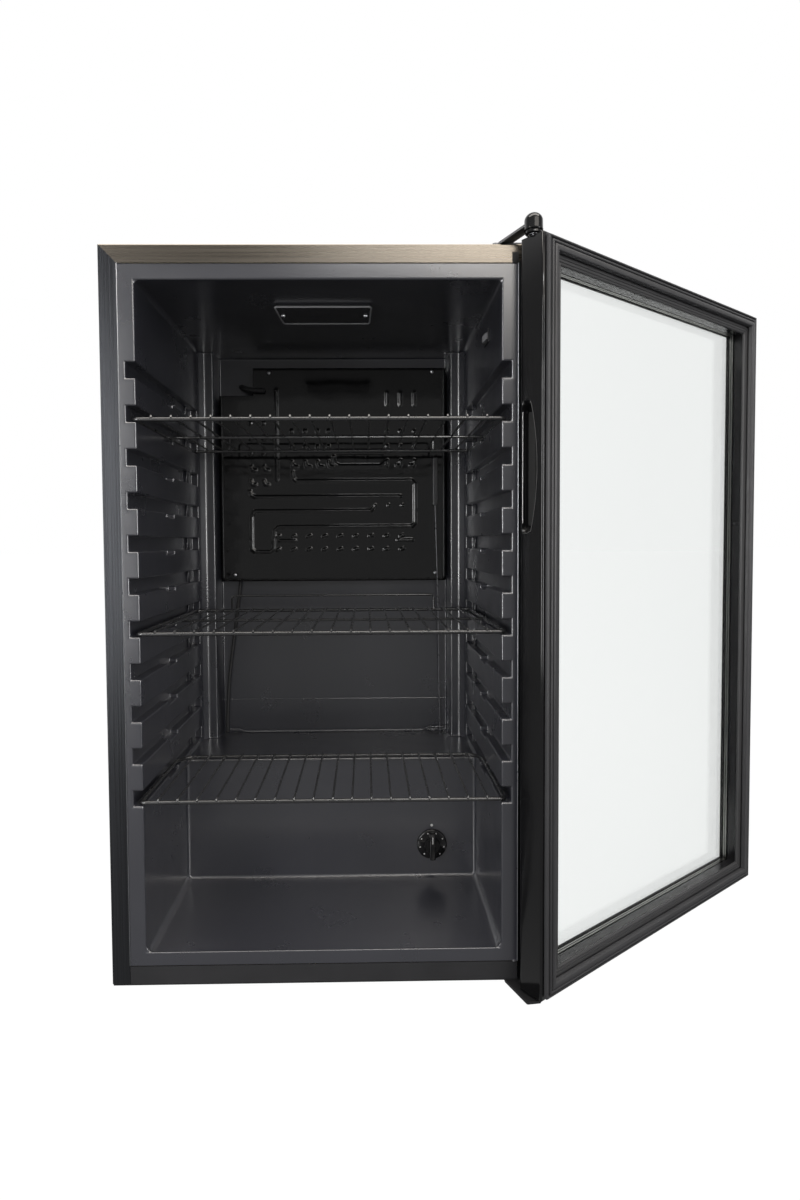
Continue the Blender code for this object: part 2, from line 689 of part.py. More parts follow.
def thermostat():
    """Control body behind the step, and the knob with its shaft through the wall."""
    x, z = KNOB
    body = box("thermostat_body", (x - 0.0225, STEP_FRONT_Y + 0.0022, z - 0.025),
               (x + 0.0225, 0.2285, z + 0.025), ZINC, bevel=0.0015)
    cut(body, cylinder("shaft_bore", (x, STEP_FRONT_Y, z), 0.0036, 0.036, "Y"))
    face = STEP_FRONT_Y - 0.0006
    profile = [(0, 0.0035), (KNOB_RADIUS - 0.0012, 0.0030), (KNOB_RADIUS, 0.0018),
               (KNOB_RADIUS, 0.0), (0.003, 0.0), (0.003, -0.016), (0, -0.016)]
    knob = turned("thermostat_knob", profile, (x, face, z), BLACK_GLOSS,
                  turn=(math.pi / 2, 0, 0), steps=36)
    hub = cylinder("knob_hub", (x, face - 0.006, z), 0.0105, 0.008, "Y", sides=28)
    grip = box("knob_grip", (x - 0.0042, face - 0.0165, z - 0.0172),
               (x + 0.0042, face - 0.0015, z + 0.0172), bevel=0.002)
    unite(knob, hub, grip)


# ---------------------------------------------------------------- shelves
def shelf(name, groove, depth, upstand, corner):
    """Welded wire shelf in the given groove: border, rods from front to back and a cross rod."""
    z = groove_floor(groove) + SHELF_WIRE + 0.0006
    half, front = SHELF_HALF - SHELF_WIRE, SHELF_FRONT_Y
    back = front + depth - 2 * SHELF_WIRE
    corners = [(-half, front), (half, front), (half, back), (-half, back)]
    border = rounded(corners, [0.006, 0.006, corner, corner], 3)
    wires = as_mesh(tube(name, [(u, v, z) for u, v in border], SHELF_WIRE, BLACK_METAL, closed=True))
    seat = SHELF_WIRE + ROD_WIRE - 0.0005
    parts = []
    for k in range(RODS):
        u = -ROD_SPAN / 2 + k * ROD_SPAN / (RODS - 1)
        rod = [(u, front - 0.0008, z + seat), (u, back + 0.0010, z + seat)]
        parts.append(tube("rod", rod, ROD_WIRE, resolution=1))
    if upstand:
        cross_y = front + 0.138
        cross = [(-half - 0.0005, cross_y, z), (half + 0.0005, cross_y, z)]
        parts.append(tube("cross_rod", cross, 0.0018, resolution=1))
        top, r = z + seat + UPSTAND_HEIGHT, 0.005
        u = UPSTAND_HALF
        hoop = [(-u, back, z), (-u, back, top - r), (-u + r * 0.3, back, top - r * 0.3),
                (-u + r, back, top), (u - r, back, top), (u - r * 0.3, back, top - r * 0.3),
                (u, back, top - r), (u, back, z)]
        parts.append(tube("upstand", hoop, 0.0016, resolution=1))
    unite(wires, *(as_mesh(part) for part in parts))


# ---------------------------------------------------------------- hinges
def hinges():
    """Brackets on the top and under the base, each with its pin, and the cap on the upper one."""
    plate = HEIGHT + GAP
    bracket = box("top_hinge_bracket", (0.192, 0.004, plate), (0.234, 0.046, plate + 0.003),
                  ZINC, bevel=0.0008, segments=1)
    root, end = Vector((0.203, 0.007, plate + 0.0014)), Vector((PIVOT_X, PIVOT_Y, 0.8360))
    along = end - root
    arm = box("hinge_arm", (-along.length / 2, -0.0068, -0.0014),
              (along.length / 2, 0.0068, 0.0014))
    arm.location = (root + end) / 2
    arm.rotation_euler = along.to_track_quat("X", "Z").to_euler()
    boss = cylinder("hinge_eye", (PIVOT_X, PIVOT_Y, 0.8360), 0.0092, 0.003)
    unite(bracket, arm, boss)
    cut(
        bracket,
        box("cabinet_top", (0.18, 0.0, HEIGHT - 0.01), (0.24, 0.06, HEIGHT + GAP)),
        cylinder("collar_room", (PIVOT_X, PIVOT_Y, 0.8295), 0.0060, 0.010),
    )
    pin = [(0, 0.8342), (0.0056, 0.8342), (0.0056, 0.8238), (PIN_RADIUS, 0.8234),
           (PIN_RADIUS, 0.8110), (0.0018, 0.8100), (0, 0.8100)]
    turned("top_hinge_pin", pin, (PIVOT_X, PIVOT_Y, 0), ZINC, steps=20)
    cap = [(0, 0.8470), (0.0035, 0.8467), (0.0070, 0.8450), (0.0090, 0.8420), (0.0096, 0.8385),
           (0.0096, 0.8378), (0, 0.8378)]
    turned("top_hinge_cap", cap, (PIVOT_X, PIVOT_Y, 0), BLACK_MATTE, steps=24)
    head = [(0, 0.0026), (0.0022, 0.0024), (0.0038, 0.0014), (0.0042, 0.0002), (0, 0.0002)]
    for n, y in enumerate((0.016, 0.036), 1):
        turned(f"top_hinge_screw_{n}", head, (0.222, y, plate + 0.003), ZINC, steps=14)

    top, thick = -0.0018, 0.003
    outline = [(0.206, 0.034), (0.206, 0.002), (0.2225, -0.0385), (0.2385, -0.0365),
               (0.2385, 0.034)]
    prism("bottom_hinge_bracket", rounded(outline, [0.003, 0.004, 0.002, 0.002, 0.003], 3),
          "XY", top - thick, top, BLACK_METAL)
    lower = [(0, 0.0110), (0.0018, 0.0110), (PIN_RADIUS, 0.0100), (PIN_RADIUS, top + GAP),
             (0, top + GAP)]
    turned("bottom_hinge_pin", lower, (PIVOT_X, PIVOT_Y, 0), ZINC, steps=20)


# ---------------------------------------------------------------- door
def frame_member(name, edge, long_half, centre, turn):
    """One mitred length of the door frame, about local X, with its rebate for the glazing."""
    # section as (distance in from the trims' inner faces, Y); the rails reach out past them
    slot_low, slot_high = DOOR_OUTER_Y + 0.003, DOOR_INNER_Y - LIP_DEPTH
    section = [
        (edge, DOOR_OUTER_Y), (0.0140, DOOR_OUTER_Y), (0.0140, slot_low),
        (0.0040, slot_low), (0.0040, slot_high), (0.0180, slot_high),
        (0.0180, DOOR_INNER_Y - 0.0015), (0.0165, DOOR_INNER_Y), (edge, DOOR_INNER_Y),
    ]
    member = prism(name, [(y, w) for w, y in section], "YZ", -long_half, long_half,
                   BLACK_MATTE, DOOR_AXIS)
    for end in (-1, 1):
        near = long_half - GAP
        wedge = [(end * near, -0.02), (end * (long_half + 0.06), -0.02),
                 (end * (long_half + 0.06), 0.05), (end * (near - 0.05), 0.05),
                 (end * near, 0.0)]
        mitre = prism("mitre", wedge, "XZ", DOOR_OUTER_Y - 0.01, DOOR_INNER_Y + 0.01,
                      None, DOOR_AXIS)
        seat_member(mitre, centre, turn)
        cut(member, mitre)
    seat_member(member, centre, turn)
    return member


def seat_member(obj, centre, turn):
    """Turns a piece that was made along the bottom rail to its own side of the door."""
    spin = Matrix.Rotation(turn, 4, "Y")
    obj.matrix_basis = Matrix.Translation(centre) @ spin @ obj.matrix_basis


def door_frame():
    inner_half = DOOR_HALF - TRIM
    tall_half = (DOOR_TOP - DOOR_BOTTOM) / 2
    mid_z = (DOOR_TOP + DOOR_BOTTOM) / 2
    frame_member("door_bottom_rail", -TRIM, inner_half, (0, 0, DOOR_BOTTOM + TRIM), 0.0)
    frame_member("door_top_rail", -TRIM, inner_half, (0, 0, DOOR_TOP - TRIM), math.pi)
    side_half = tall_half - TRIM
    frame_member("door_hinge_stile", GAP, side_half, (inner_half, 0, mid_z), -math.pi / 2)
    frame_member("door_latch_stile", GAP, side_half, (-inner_half, 0, mid_z), math.pi / 2)


def ring(name, outer, inner, y_low, y_high, mat):
    """A rectangular ring in the door's plane; outer and inner are distances in from its edge."""
    def rim(inset):
        x = DOOR_HALF - inset
        return [(-x, DOOR_BOTTOM + inset), (x, DOOR_BOTTOM + inset),
                (x, DOOR_TOP - inset), (-x, DOOR_TOP - inset)]
    body = prism(name, rounded(rim(outer), 0.002, 2), "XZ", y_low, y_high, mat, DOOR_AXIS)
    return cut(body, prism(f"{name}_middle", rounded(rim(inner), 0.001, 2), "XZ",
                           y_low - 0.01, y_high + 0.01, None, DOOR_AXIS))


def glazing():
    """Two panes, the spacer between them, and the magnetic seal round the inner face."""
    inner_face = DOOR_INNER_Y - LIP_DEPTH - GAP
    outer_face = DOOR_OUTER_Y + 0.003 + GAP
    edge = TRIM + 0.0045

    def pane(name, low, high):
        x = DOOR_HALF - edge
        box(name, (-x, low, DOOR_BOTTOM + edge), (x, high, DOOR_TOP - edge), GLASS, DOOR_AXIS)

    pane("door_inner_glass", inner_face - PANE, inner_face)
    pane("door_outer_glass", outer_face, outer_face + PANE)
    ring("glass_spacer", edge + 0.0035, RAIL - 0.0005, outer_face + PANE + GAP,
         inner_face - PANE - GAP, ALUMINIUM)
    gasket = ring("door_gasket", 0.0040, 0.0190, DOOR_INNER_Y + GAP, -GAP, RUBBER)
    ridge = gasket.modifiers.new("soft_edges", "BEVEL")
    ridge.width = 0.0012
    ridge.segments = 1
    ridge.limit_method = "ANGLE"


def d_recess(side):
    """The finger grip's cutter: a D with its straight side towards the door's outer face."""
    low, high = GRIP_Z
    half, mid = (high - low) / 2, (high + low) / 2
    flat = DOOR_INNER_Y - GRIP_FLAT
    radius = (half ** 2 + GRIP_BULGE ** 2) / (2 * GRIP_BULGE)
    reach = math.asin(half / radius)
    steps = 10
    arc = [reach - 2 * reach * k / steps for k in range(steps + 1)]
    outline = [(flat + GRIP_BULGE - radius + radius * math.cos(a), mid + radius * math.sin(a))
               for a in arc]
    outside = side * (DOOR_HALF + 0.01)
    inside = side * (DOOR_HALF - GRIP_DEPTH)
    return prism("grip_recess", outline, "YZ", min(outside, inside), max(outside, inside),
                 None, DOOR_AXIS)


def edge_trims():
    """Glossy upright trims, each with a grip, and the bushes the door turns on."""
    bush_radius = 0.0042
    for side, word in ((1, "hinge"), (-1, "latch")):
        x_low, x_high = sorted((side * (DOOR_HALF - TRIM), side * DOOR_HALF))
        trim = box(f"door_{word}_trim", (x_low, DOOR_OUTER_Y, DOOR_BOTTOM),
                   (x_high, DOOR_INNER_Y, DOOR_TOP), BLACK_GLOSS, DOOR_AXIS, bevel=0.002)
        cut(trim, d_recess(side))
        if side > 0:
            for z in (DOOR_BOTTOM, DOOR_TOP):
                cut(trim, cylinder("bush_seat", (PIVOT_X, PIVOT_Y, z), bush_radius + 0.0002, 0.028,
                                   parent=DOOR_AXIS, sides=20))
    wall = [(PIN_RADIUS + 0.0003, 0.0125), (bush_radius, 0.0125), (bush_radius, 0.0),
            (PIN_RADIUS + 0.0003, 0.0)]
    for word, z in (("bottom", DOOR_BOTTOM + 0.0003), ("top", DOOR_TOP - 0.0128)):
        turned(f"door_{word}_bush", wall, (PIVOT_X, PIVOT_Y, z), WHITE, DOOR_AXIS, steps=20,
               closed=True)


# ---------------------------------------------------------------- assembly
def stand_on_floor():
    """Moves the cabinet so that its bounding box's bottom centre is the origin."""
    bpy.context.view_layer.update()
    graph = bpy.context.evaluated_depsgraph_get()
    low, high = Vector((1e9,) * 3), Vector((-1e9,) * 3)
    for obj in PARTS.objects:
        if obj.type == "EMPTY":
            continue
        shape = obj.evaluated_get(graph)
        mesh = shape.to_mesh()
        for vertex in mesh.vertices:
            point = shape.matrix_world @ vertex.co
            low = Vector(map(min, low, point))
            high = Vector(map(max, high, point))
        shape.to_mesh_clear()
    centre = (low + high) / 2
    CABINET.location = (-centre.x, -centre.y, -low.z)


outer_wrapper()
rear_panel()
base_tray()
front_plinth()
feet()
inner_liner()
insulation_foam()
evaporator()
compressor()
condenser()
drainage()
lamp()
light_switch()
thermostat()
shelf("top_shelf", 1, DEEP_SHELF, True, 0.008)
shelf("middle_shelf", 6, DEEP_SHELF, True, 0.008)
shelf("lower_shelf", 10, SHORT_SHELF, False, 0.024)
hinges()
door_frame()
glazing()
edge_trims()
stand_on_floor()
bpy.context.view_layer.update()
print("cabinet_frame at", [round(v, 6) for v in CABINET.location])
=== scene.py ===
"""Looks of the glass door merchandiser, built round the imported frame.

Pieces are modelled in cabinet coordinates, in metres: X is 0 on the cabinet's centre line, Y is 0
on the casing's front face, Z is 0 on the casing's lower edge. The door's pieces are modelled shut in
the same coordinates and swung to their stored, open place when they are finished.
"""

import json
from itertools import pairwise
from math import copysign, cos, pi, radians, sin, sqrt, tan

import bmesh
import bpy
import numpy as np
from mathutils import Matrix, Vector


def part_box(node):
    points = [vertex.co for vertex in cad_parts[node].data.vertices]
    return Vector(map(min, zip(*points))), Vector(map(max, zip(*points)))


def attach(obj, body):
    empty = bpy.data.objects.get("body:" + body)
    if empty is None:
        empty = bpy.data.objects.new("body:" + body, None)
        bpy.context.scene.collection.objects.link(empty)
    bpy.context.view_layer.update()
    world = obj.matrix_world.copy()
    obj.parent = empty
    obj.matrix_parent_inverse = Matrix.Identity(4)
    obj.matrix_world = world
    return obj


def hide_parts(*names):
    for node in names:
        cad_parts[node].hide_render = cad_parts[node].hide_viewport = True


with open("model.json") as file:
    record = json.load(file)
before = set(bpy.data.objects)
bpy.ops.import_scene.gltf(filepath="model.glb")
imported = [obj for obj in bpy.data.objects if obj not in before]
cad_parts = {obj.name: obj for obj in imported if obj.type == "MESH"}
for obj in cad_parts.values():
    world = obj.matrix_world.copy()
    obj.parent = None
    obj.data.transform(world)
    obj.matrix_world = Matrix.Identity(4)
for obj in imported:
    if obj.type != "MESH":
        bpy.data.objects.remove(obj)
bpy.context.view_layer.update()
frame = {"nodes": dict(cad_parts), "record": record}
NODES = frame["nodes"]
RECORD = frame["record"]

# ---- sizes, and where the frame puts the cabinet and the door's hinge
WIDTH, HEIGHT, DEPTH = 0.48, 0.825, 0.4
CASE_LOW, CASE_HIGH = map(Vector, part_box("outer_wrapper"))
ORIGIN = Vector(((CASE_LOW.x + CASE_HIGH.x) / 2, CASE_LOW.y, CASE_HIGH.z - HEIGHT))
HINGE = next(j for j in RECORD["behaviour"]["joints"] if j["name"] == "door_hinge")
HINGE_POINT = Vector(HINGE["pos_m"])
IN_CABINET = Matrix.Translation(ORIGIN)
IN_DOOR = (
    Matrix.Translation(HINGE_POINT)
    @ Matrix.Rotation(-radians(HINGE["range_deg"][0]), 4, "Z")
    @ Matrix.Translation(-HINGE_POINT)
    @ IN_CABINET
)
PIVOT_X, PIVOT_Y = (HINGE_POINT - ORIGIN).xy

# cabinet
BAND = 0.02
FLANGE_Y = 0.001
WALL_X = 0.2015
CEILING_Z = 0.787
SILL_Z, FLOOR_Z = 0.037, 0.03
STEP_Y, STEP_Z = 0.192, 0.199
GROOVE_END_Y, WALL_END_Y, COLUMN_Y, BACK_Y = 0.287, 0.291, 0.299, 0.336
COLUMN_X, RECESS_X, BACK_X = 0.192, 0.18, 0.177
GROOVES, GROOVE_PITCH, TOP_GROOVE_Z = 11, 0.0477, 0.681
GROOVE_HEIGHT, GROOVE_X = 0.0173, 0.2125
POCKET_Y, POCKET_DROP = (0.11, 0.152), 0.005
RIB_Y, RIB_HEIGHT = (0.25, 0.253), 0.003
LAMP_X, LAMP_Y = 0.048, (0.0915, 0.1355)
WIDEST = 0.009  # the liner's largest edge radius
MACHINE_Y = 0.318  # the compressor's upright axis

# door, shut
DOOR_HALF, DOOR_BOTTOM, DOOR_TOP = 0.236, -0.001, 0.8225
DOOR_INNER_Y, DOOR_OUTER_Y = -0.0066, -0.0381
TRIM, RAIL = 0.012, 0.03
OUTER_ROUND, INNER_ROUND = 0.0035, 0.0022  # corner radii of the trims
GRIP_Z, GRIP_FLAT, GRIP_BULGE, GRIP_DEPTH = (0.508, 0.65), 0.0275, 0.0195, 0.009


# ---- mesh helpers
def linked(name, data):
    """A new object in the scene."""
    obj = bpy.data.objects.new(name, data)
    bpy.context.scene.collection.objects.link(obj)
    return obj


def mesh_of(name, bm):
    mesh = bpy.data.meshes.new(name)
    bm.to_mesh(mesh)
    bm.free()
    return mesh


def piece(name, bm, *materials, slot, body="cabinet", place=IN_CABINET, stands_for=None, sharp=35):
    """A finished object from a bmesh, shaded and placed, that rides a body and may stand for a node."""
    mesh = mesh_of(name, bm)
    mesh.transform(place)
    mesh.shade_smooth()
    mesh.set_sharp_from_angle(angle=radians(sharp))
    obj = linked(name, mesh)
    for material in materials:
        mesh.materials.append(material)
    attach(obj, body)
    if stands_for:
        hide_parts(stands_for)
    return obj


def in_door(name, bm, *materials, **options):
    return piece(name, bm, *materials, body="door", place=IN_DOOR, **options)


def loft(bm, rings, closed=False, wrap=True):
    """Quads between successive rings of points, capped at both ends if wrapped but not closed.

    closed joins the last ring to the first, and wrap joins each ring's end to its start.
    """
    rows = [[bm.verts.new(p) for p in ring] for ring in rings]
    pairs = list(pairwise(rows))
    if closed:
        pairs.append((rows[-1], rows[0]))
    count = len(rows[0])
    for a, b in pairs:
        for i in range(count if wrap else count - 1):
            j = (i + 1) % count
            bm.faces.new((a[i], a[j], b[j], b[i]))
    if wrap and not closed:
        bm.faces.new(list(reversed(rows[0])))
        bm.faces.new(rows[-1])


def tidy(bm, merge=0.00001):
    bmesh.ops.remove_doubles(bm, verts=bm.verts, dist=merge)
    bmesh.ops.recalc_face_normals(bm, faces=bm.faces)
    return bm


def tube(bm, route, radius, sides=10, closed=False, domed=False):
    """A round tube along a route; domed gives it rounded ends."""
    points = [Vector(p) for p in route]
    count = len(points)
    angles = [2 * pi * k / sides for k in range(sides)]
    normal = None
    rings, tangents = [], []
    for i, point in enumerate(points):
        before = points[i - 1] if i or closed else point
        after = points[(i + 1) % count] if i < count - 1 or closed else point
        tangent = (after - before).normalized()
        if normal is None:
            normal = tangent.orthogonal().normalized()
        normal = (normal - tangent * normal.dot(tangent)).normalized()
        across = tangent.cross(normal)
        rings.append([point + radius * (cos(a) * normal + sin(a) * across) for a in angles])
        tangents.append(tangent)
    if domed:
        first, last = (
            [points[end] + (p - points[end]) * 0.6 + tangents[end] * (sign * radius * 0.5)
             for p in rings[end]]
            for end, sign in ((0, -1), (-1, 1))
        )
        rings = [first, *rings, last]
    loft(bm, rings, closed=closed)


def smooth_route(points, each=6):
    """Points along a Catmull-Rom curve through the route's own points."""
    ends = [2 * Vector(points[0]) - Vector(points[1]), 2 * Vector(points[-1]) - Vector(points[-2])]
    p = [ends[0], *map(Vector, points), ends[1]]
    route = []
    for i in range(1, len(p) - 2):
        for k in range(each):
            t = k / each
            route.append(
                0.5 * (2 * p[i] + (p[i + 1] - p[i - 1]) * t
                       + (2 * p[i - 1] - 5 * p[i] + 4 * p[i + 1] - p[i + 2]) * t ** 2
                       + (3 * p[i] - p[i - 1] - 3 * p[i + 1] + p[i + 2]) * t ** 3)
            )
    return [*route, p[-2]]


def rounded(corners, radius, steps=6):
    """A closed outline whose corners are arcs; radius is one number or one for each corner."""
    radii = radius if isinstance(radius, (list, tuple)) else [radius] * len(corners)
    outline = []
    for i, corner in enumerate(corners):
        here = Vector(corner)
        if radii[i] <= 0:
            outline.append(here)
            continue
        before = (Vector(corners[i - 1]) - here).normalized()
        after = (Vector(corners[(i + 1) % len(corners)]) - here).normalized()
        half = before.angle(after) / 2
        centre = here + (before + after).normalized() * (radii[i] / sin(half))
        start = here + before * (radii[i] / tan(half)) - centre
        sweep = start.angle_signed(here + after * (radii[i] / tan(half)) - centre)
        for k in range(steps + 1):
            outline.append(centre + Matrix.Rotation(-sweep * k / steps, 2) @ start)
    return outline


def turned(bm, profile, at, axis="Z", steps=32):
    """A solid of revolution; the profile runs (radius, height) along the axis."""
    spin = {"Z": Matrix.Identity(3), "Y": Matrix.Rotation(pi / 2, 3, "X")}[axis]
    rings = []
    for k in range(steps):
        angle = 2 * pi * k / steps
        rings.append([
            Vector(at) + spin @ Vector((r * cos(angle), r * sin(angle), h))
            for r, h in profile
        ])
    loft(bm, rings, closed=True, wrap=False)
    bmesh.ops.remove_doubles(bm, verts=bm.verts, dist=0.00001)


def rounded_box(bm, low, high, radius, segments=3):
    """A box whose edges are rounded."""
    low, high = Vector(low), Vector(high)
    made = bmesh.ops.create_cube(bm, size=1.0)["verts"]
    bmesh.ops.scale(bm, vec=high - low, verts=made)
    bmesh.ops.translate(bm, vec=(low + high) / 2, verts=made)
    edges = {e for v in made for e in v.link_edges}
    bmesh.ops.bevel(bm, geom=list(edges), offset=radius, segments=segments, affect="EDGES",
                    profile=0.5)


def slab(bm, outline, low, high, plane, edge):
    """An outline with thickness, its rims softened; plane names the outline's own two axes."""
    def lift(p, h, grow):
        centre = sum((Vector(q) for q in outline), Vector((0, 0))) / len(outline)
        u, v = Vector(p) - (Vector(p) - centre).normalized() * grow
        return {"XY": (u, v, h), "YZ": (h, u, v)}[plane]
    levels = [(low, edge), (low + edge, 0.0), (high - edge, 0.0), (high, edge)]
    loft(bm, [[lift(p, h, grow) for p in outline] for h, grow in levels])


# ---- materials
def feed(tree, made, **inputs):
    """Sets a node's inputs to plain values or links them to other nodes' outputs."""
    for name, value in inputs.items():
        socket = made.inputs[name.replace("_", " ")]
        if isinstance(value, bpy.types.NodeSocket):
            tree.links.new(value, socket)
        else:
            socket.default_value = value


def node(tree, kind, **inputs):
    made = tree.nodes.new(kind)
    feed(tree, made, **inputs)
    return made


def shader(name, colour, roughness, metallic=0.0, **sockets):
    """A Principled material; sockets are plain numbers or colours set on the shader itself."""
    mat = bpy.data.materials.new(name)
    mat.use_nodes = True
    tree = mat.node_tree
    made = tree.nodes["Principled BSDF"]
    feed(tree, made, Base_Color=(*colour, 1.0), Roughness=roughness, Metallic=metallic, **sockets)
    mat.diffuse_color = (*colour, 1.0)
    return mat, tree, made


def noise(tree, scale, stretch=(1, 1, 1), detail=4.0, rough=0.55):
    """Noise over the piece's own coordinates, stretched along its grain."""
    where = tree.nodes.new("ShaderNodeTexCoord")
    mapping = node(tree, "ShaderNodeMapping", Vector=where.outputs["Object"], Scale=stretch)
    made = node(tree, "ShaderNodeTexNoise", Vector=mapping.outputs["Vector"], Scale=scale,
                Detail=detail, Roughness=rough)
    return made.outputs["Fac"]


def ranged(tree, value, low, high, start=0.3, end=0.7):
    """Maps a value's stretch from start to end onto low to high."""
    made = node(tree, "ShaderNodeMapRange", Value=value, From_Min=start, From_Max=end,
                To_Min=low, To_Max=high)
    return made.outputs["Result"]


def mixed(tree, factor, a, b):
    """A colour between a and b; either may be a colour or a node's output."""
    made = tree.nodes.new("ShaderNodeMix")
    made.data_type = "RGBA"
    tree.links.new(factor, made.inputs["Factor"])
    for socket, value in (("A", a), ("B", b)):
        target = next(i for i in made.inputs if i.name == socket and i.type == "RGBA")
        if isinstance(value, tuple):
            target.default_value = (*value, 1.0)
        else:
            tree.links.new(value, target)
    return next(o for o in made.outputs if o.type == "RGBA")


def bump(tree, made, value, strength, distance=0.0003):
    raised = node(tree, "ShaderNodeBump", Height=value, Strength=strength, Distance=distance)
    feed(tree, made, Normal=raised.outputs["Normal"])


def moulded(name, colour, roughness, worn=1.35, patch=9.0, grain=900.0, grain_depth=0.15,
            spread=0.05, metallic=0.0, coat=None, **sockets):
    """Faint patches of tone, uneven gloss and a fine grain; coat is a clear coat's roughness."""
    mat, tree, made = shader(name, colour, roughness, metallic, **sockets)
    if coat is not None:
        feed(tree, made, Coat_Weight=1.0, Coat_Roughness=coat)
    tone = noise(tree, patch)
    lighter = tuple(min(1.0, c * worn) for c in colour)
    uneven = noise(tree, patch * 3.3)
    feed(tree, made, Base_Color=mixed(tree, ranged(tree, tone, 0.0, 1.0), colour, lighter),
         Roughness=ranged(tree, uneven, max(0.02, roughness - spread), roughness + spread))
    bump(tree, made, noise(tree, grain, detail=2.0), grain_depth)
    return mat


def maths(tree, operation, a, b):
    made = tree.nodes.new("ShaderNodeMath")
    made.operation = operation
    for socket, value in zip(made.inputs, (a, b)):
        if isinstance(value, (int, float)):
            socket.default_value = value
        else:
            tree.links.new(value, socket)
    return made.outputs[0]


def brushed_steel():
    """Dark brushed steel, its grain lengthwise on the top border and upright below; the top border's
    colour is lighter and warm, a painted reflection, and the sides' is dark and cool.
    """
    mat, tree, made = shader("brushed_black_steel", (0.1, 0.095, 0.088), 0.34, 1.0)
    along = noise(tree, 90.0, (0.03, 1.0, 9.0), detail=5.0, rough=0.7)
    upright = noise(tree, 90.0, (9.0, 9.0, 0.03), detail=5.0, rough=0.7)
    where = tree.nodes.new("ShaderNodeTexCoord")
    parts = node(tree, "ShaderNodeSeparateXYZ", Vector=where.outputs["Object"])
    off_centre = maths(tree, "ABSOLUTE", maths(tree, "SUBTRACT", parts.outputs["X"], ORIGIN.x), 0)
    past_side = maths(tree, "MAXIMUM", maths(tree, "SUBTRACT", off_centre, WIDTH / 2 - BAND), 0.0)
    above = maths(tree, "SUBTRACT", parts.outputs["Z"], ORIGIN.z + HEIGHT - BAND)
    top_grain_and_sheen = maths(tree, "GREATER_THAN", above, past_side)
    pattern = tree.nodes.new("ShaderNodeMix")
    tree.links.new(top_grain_and_sheen, pattern.inputs[0])
    tree.links.new(upright, pattern.inputs[2])
    tree.links.new(along, pattern.inputs[3])
    grain = pattern.outputs[0]
    # painted reflection: lighter, warm colours on the top border and dark, cool ones on the sides of
    # the same steel sheet
    tone = mixed(tree, top_grain_and_sheen, (0.055, 0.057, 0.062), (0.16, 0.14, 0.116))
    bright = mixed(tree, top_grain_and_sheen, (0.085, 0.088, 0.096), (0.21, 0.186, 0.155))
    feed(tree, made, Base_Color=mixed(tree, ranged(tree, grain, 0.0, 1.0), tone, bright),
         Roughness=ranged(tree, grain, 0.22, 0.34))
    bump(tree, made, grain, 0.08, 0.0001)
    return mat


def glass():
    """Clear toughened glass."""
    mat, tree, made = shader("clear_glass", (0.955, 0.965, 0.96), 0.0, 0.0,
                             Transmission_Weight=1.0, IOR=1.45)
    smear = noise(tree, 6.0)
    feed(tree, made, Roughness=ranged(tree, smear, 0.0, 0.03))
    return mat


STEEL = brushed_steel()
# the order is name, colour, roughness, worn, patch, grain, grain_depth, spread
LINER = moulded("graphite_liner", (0.028, 0.029, 0.038), 0.3, 1.18, 5.0, 900.0, 0.03, 0.04,
                coat=0.22, Specular_IOR_Level=1.0, Coat_IOR=1.6)
FOAM = moulded("insulation_foam", (0.75, 0.66, 0.42), 0.9, 1.1, 30.0, 260.0, 0.6)
METAL = moulded("black_coated_metal", (0.014, 0.014, 0.015), 0.34, 1.6, 14.0, 1200.0, 0.12)
WIRE = moulded("black_coated_wire", (0.016, 0.016, 0.017), 0.3, 1.4, 40.0, 300.0, 0.04,
               coat=0.18)
# lighter steel for the casing's folded edges, a painted highlight
LIP_HIGHLIGHT_STEEL = moulded("steel_edge_painted_highlight", (0.42, 0.43, 0.45), 0.32, 1.1, 40.0, 900.0, 0.02,
                       metallic=1.0)
HOLDER = moulded("sensor_holder_plastic", (0.055, 0.055, 0.058), 0.4, 1.3, 30.0, 900.0, 0.15)
PANEL = moulded("black_painted_sheet", (0.018, 0.018, 0.019), 0.38, 1.5, 6.0, 1500.0, 0.2)
MATTE = moulded("black_matte_plastic", (0.022, 0.022, 0.024), 0.45, 1.4, 12.0, 1400.0, 0.25)
FRAME = moulded("door_frame_plastic", (0.045, 0.045, 0.047), 0.42, 1.25, 10.0, 1100.0, 0.2)
GLOSS = moulded("black_gloss_plastic", (0.006, 0.006, 0.0065), 0.09, 1.5, 8.0, 300.0, 0.05, 0.03)
PLATE = moulded("evaporator_enamel", (0.004, 0.004, 0.0042), 0.09, 1.6, 20.0, 120.0, 0.06, 0.03,
                Specular_IOR_Level=0.8)
# dark grey, lighter than the black gloss trims, a painted highlight on the grip's rims
GRIP_RIM_HIGHLIGHT = moulded("grip_rim_painted_highlight", (0.1, 0.1, 0.1), 0.16, 1.2, 20.0, 900.0, 0.05,
                     coat=0.06)
RUBBER = moulded("black_rubber", (0.022, 0.022, 0.023), 0.62, 1.5, 20.0, 900.0, 0.35)
SEAL = moulded("door_seal_vinyl", (0.04, 0.04, 0.043), 0.42, 1.3, 14.0, 500.0, 0.2)
ALUMINIUM = moulded("aluminium", (0.42, 0.42, 0.4), 0.34, 1.2, 60.0, 900.0, 0.2, metallic=1.0)
DARK_ALUMINIUM = moulded("dark_aluminium", (0.1, 0.1, 0.095), 0.4, 1.3, 60.0, 900.0, 0.2,
                         metallic=1.0)
ZINC = moulded("zinc_plated_steel", (0.5, 0.5, 0.52), 0.3, 1.25, 50.0, 900.0, 0.25,
               metallic=1.0)
HINGE_STEEL = moulded("hinge_steel", (0.22, 0.22, 0.225), 0.38, 1.3, 60.0, 1200.0, 0.3,
                      metallic=1.0)
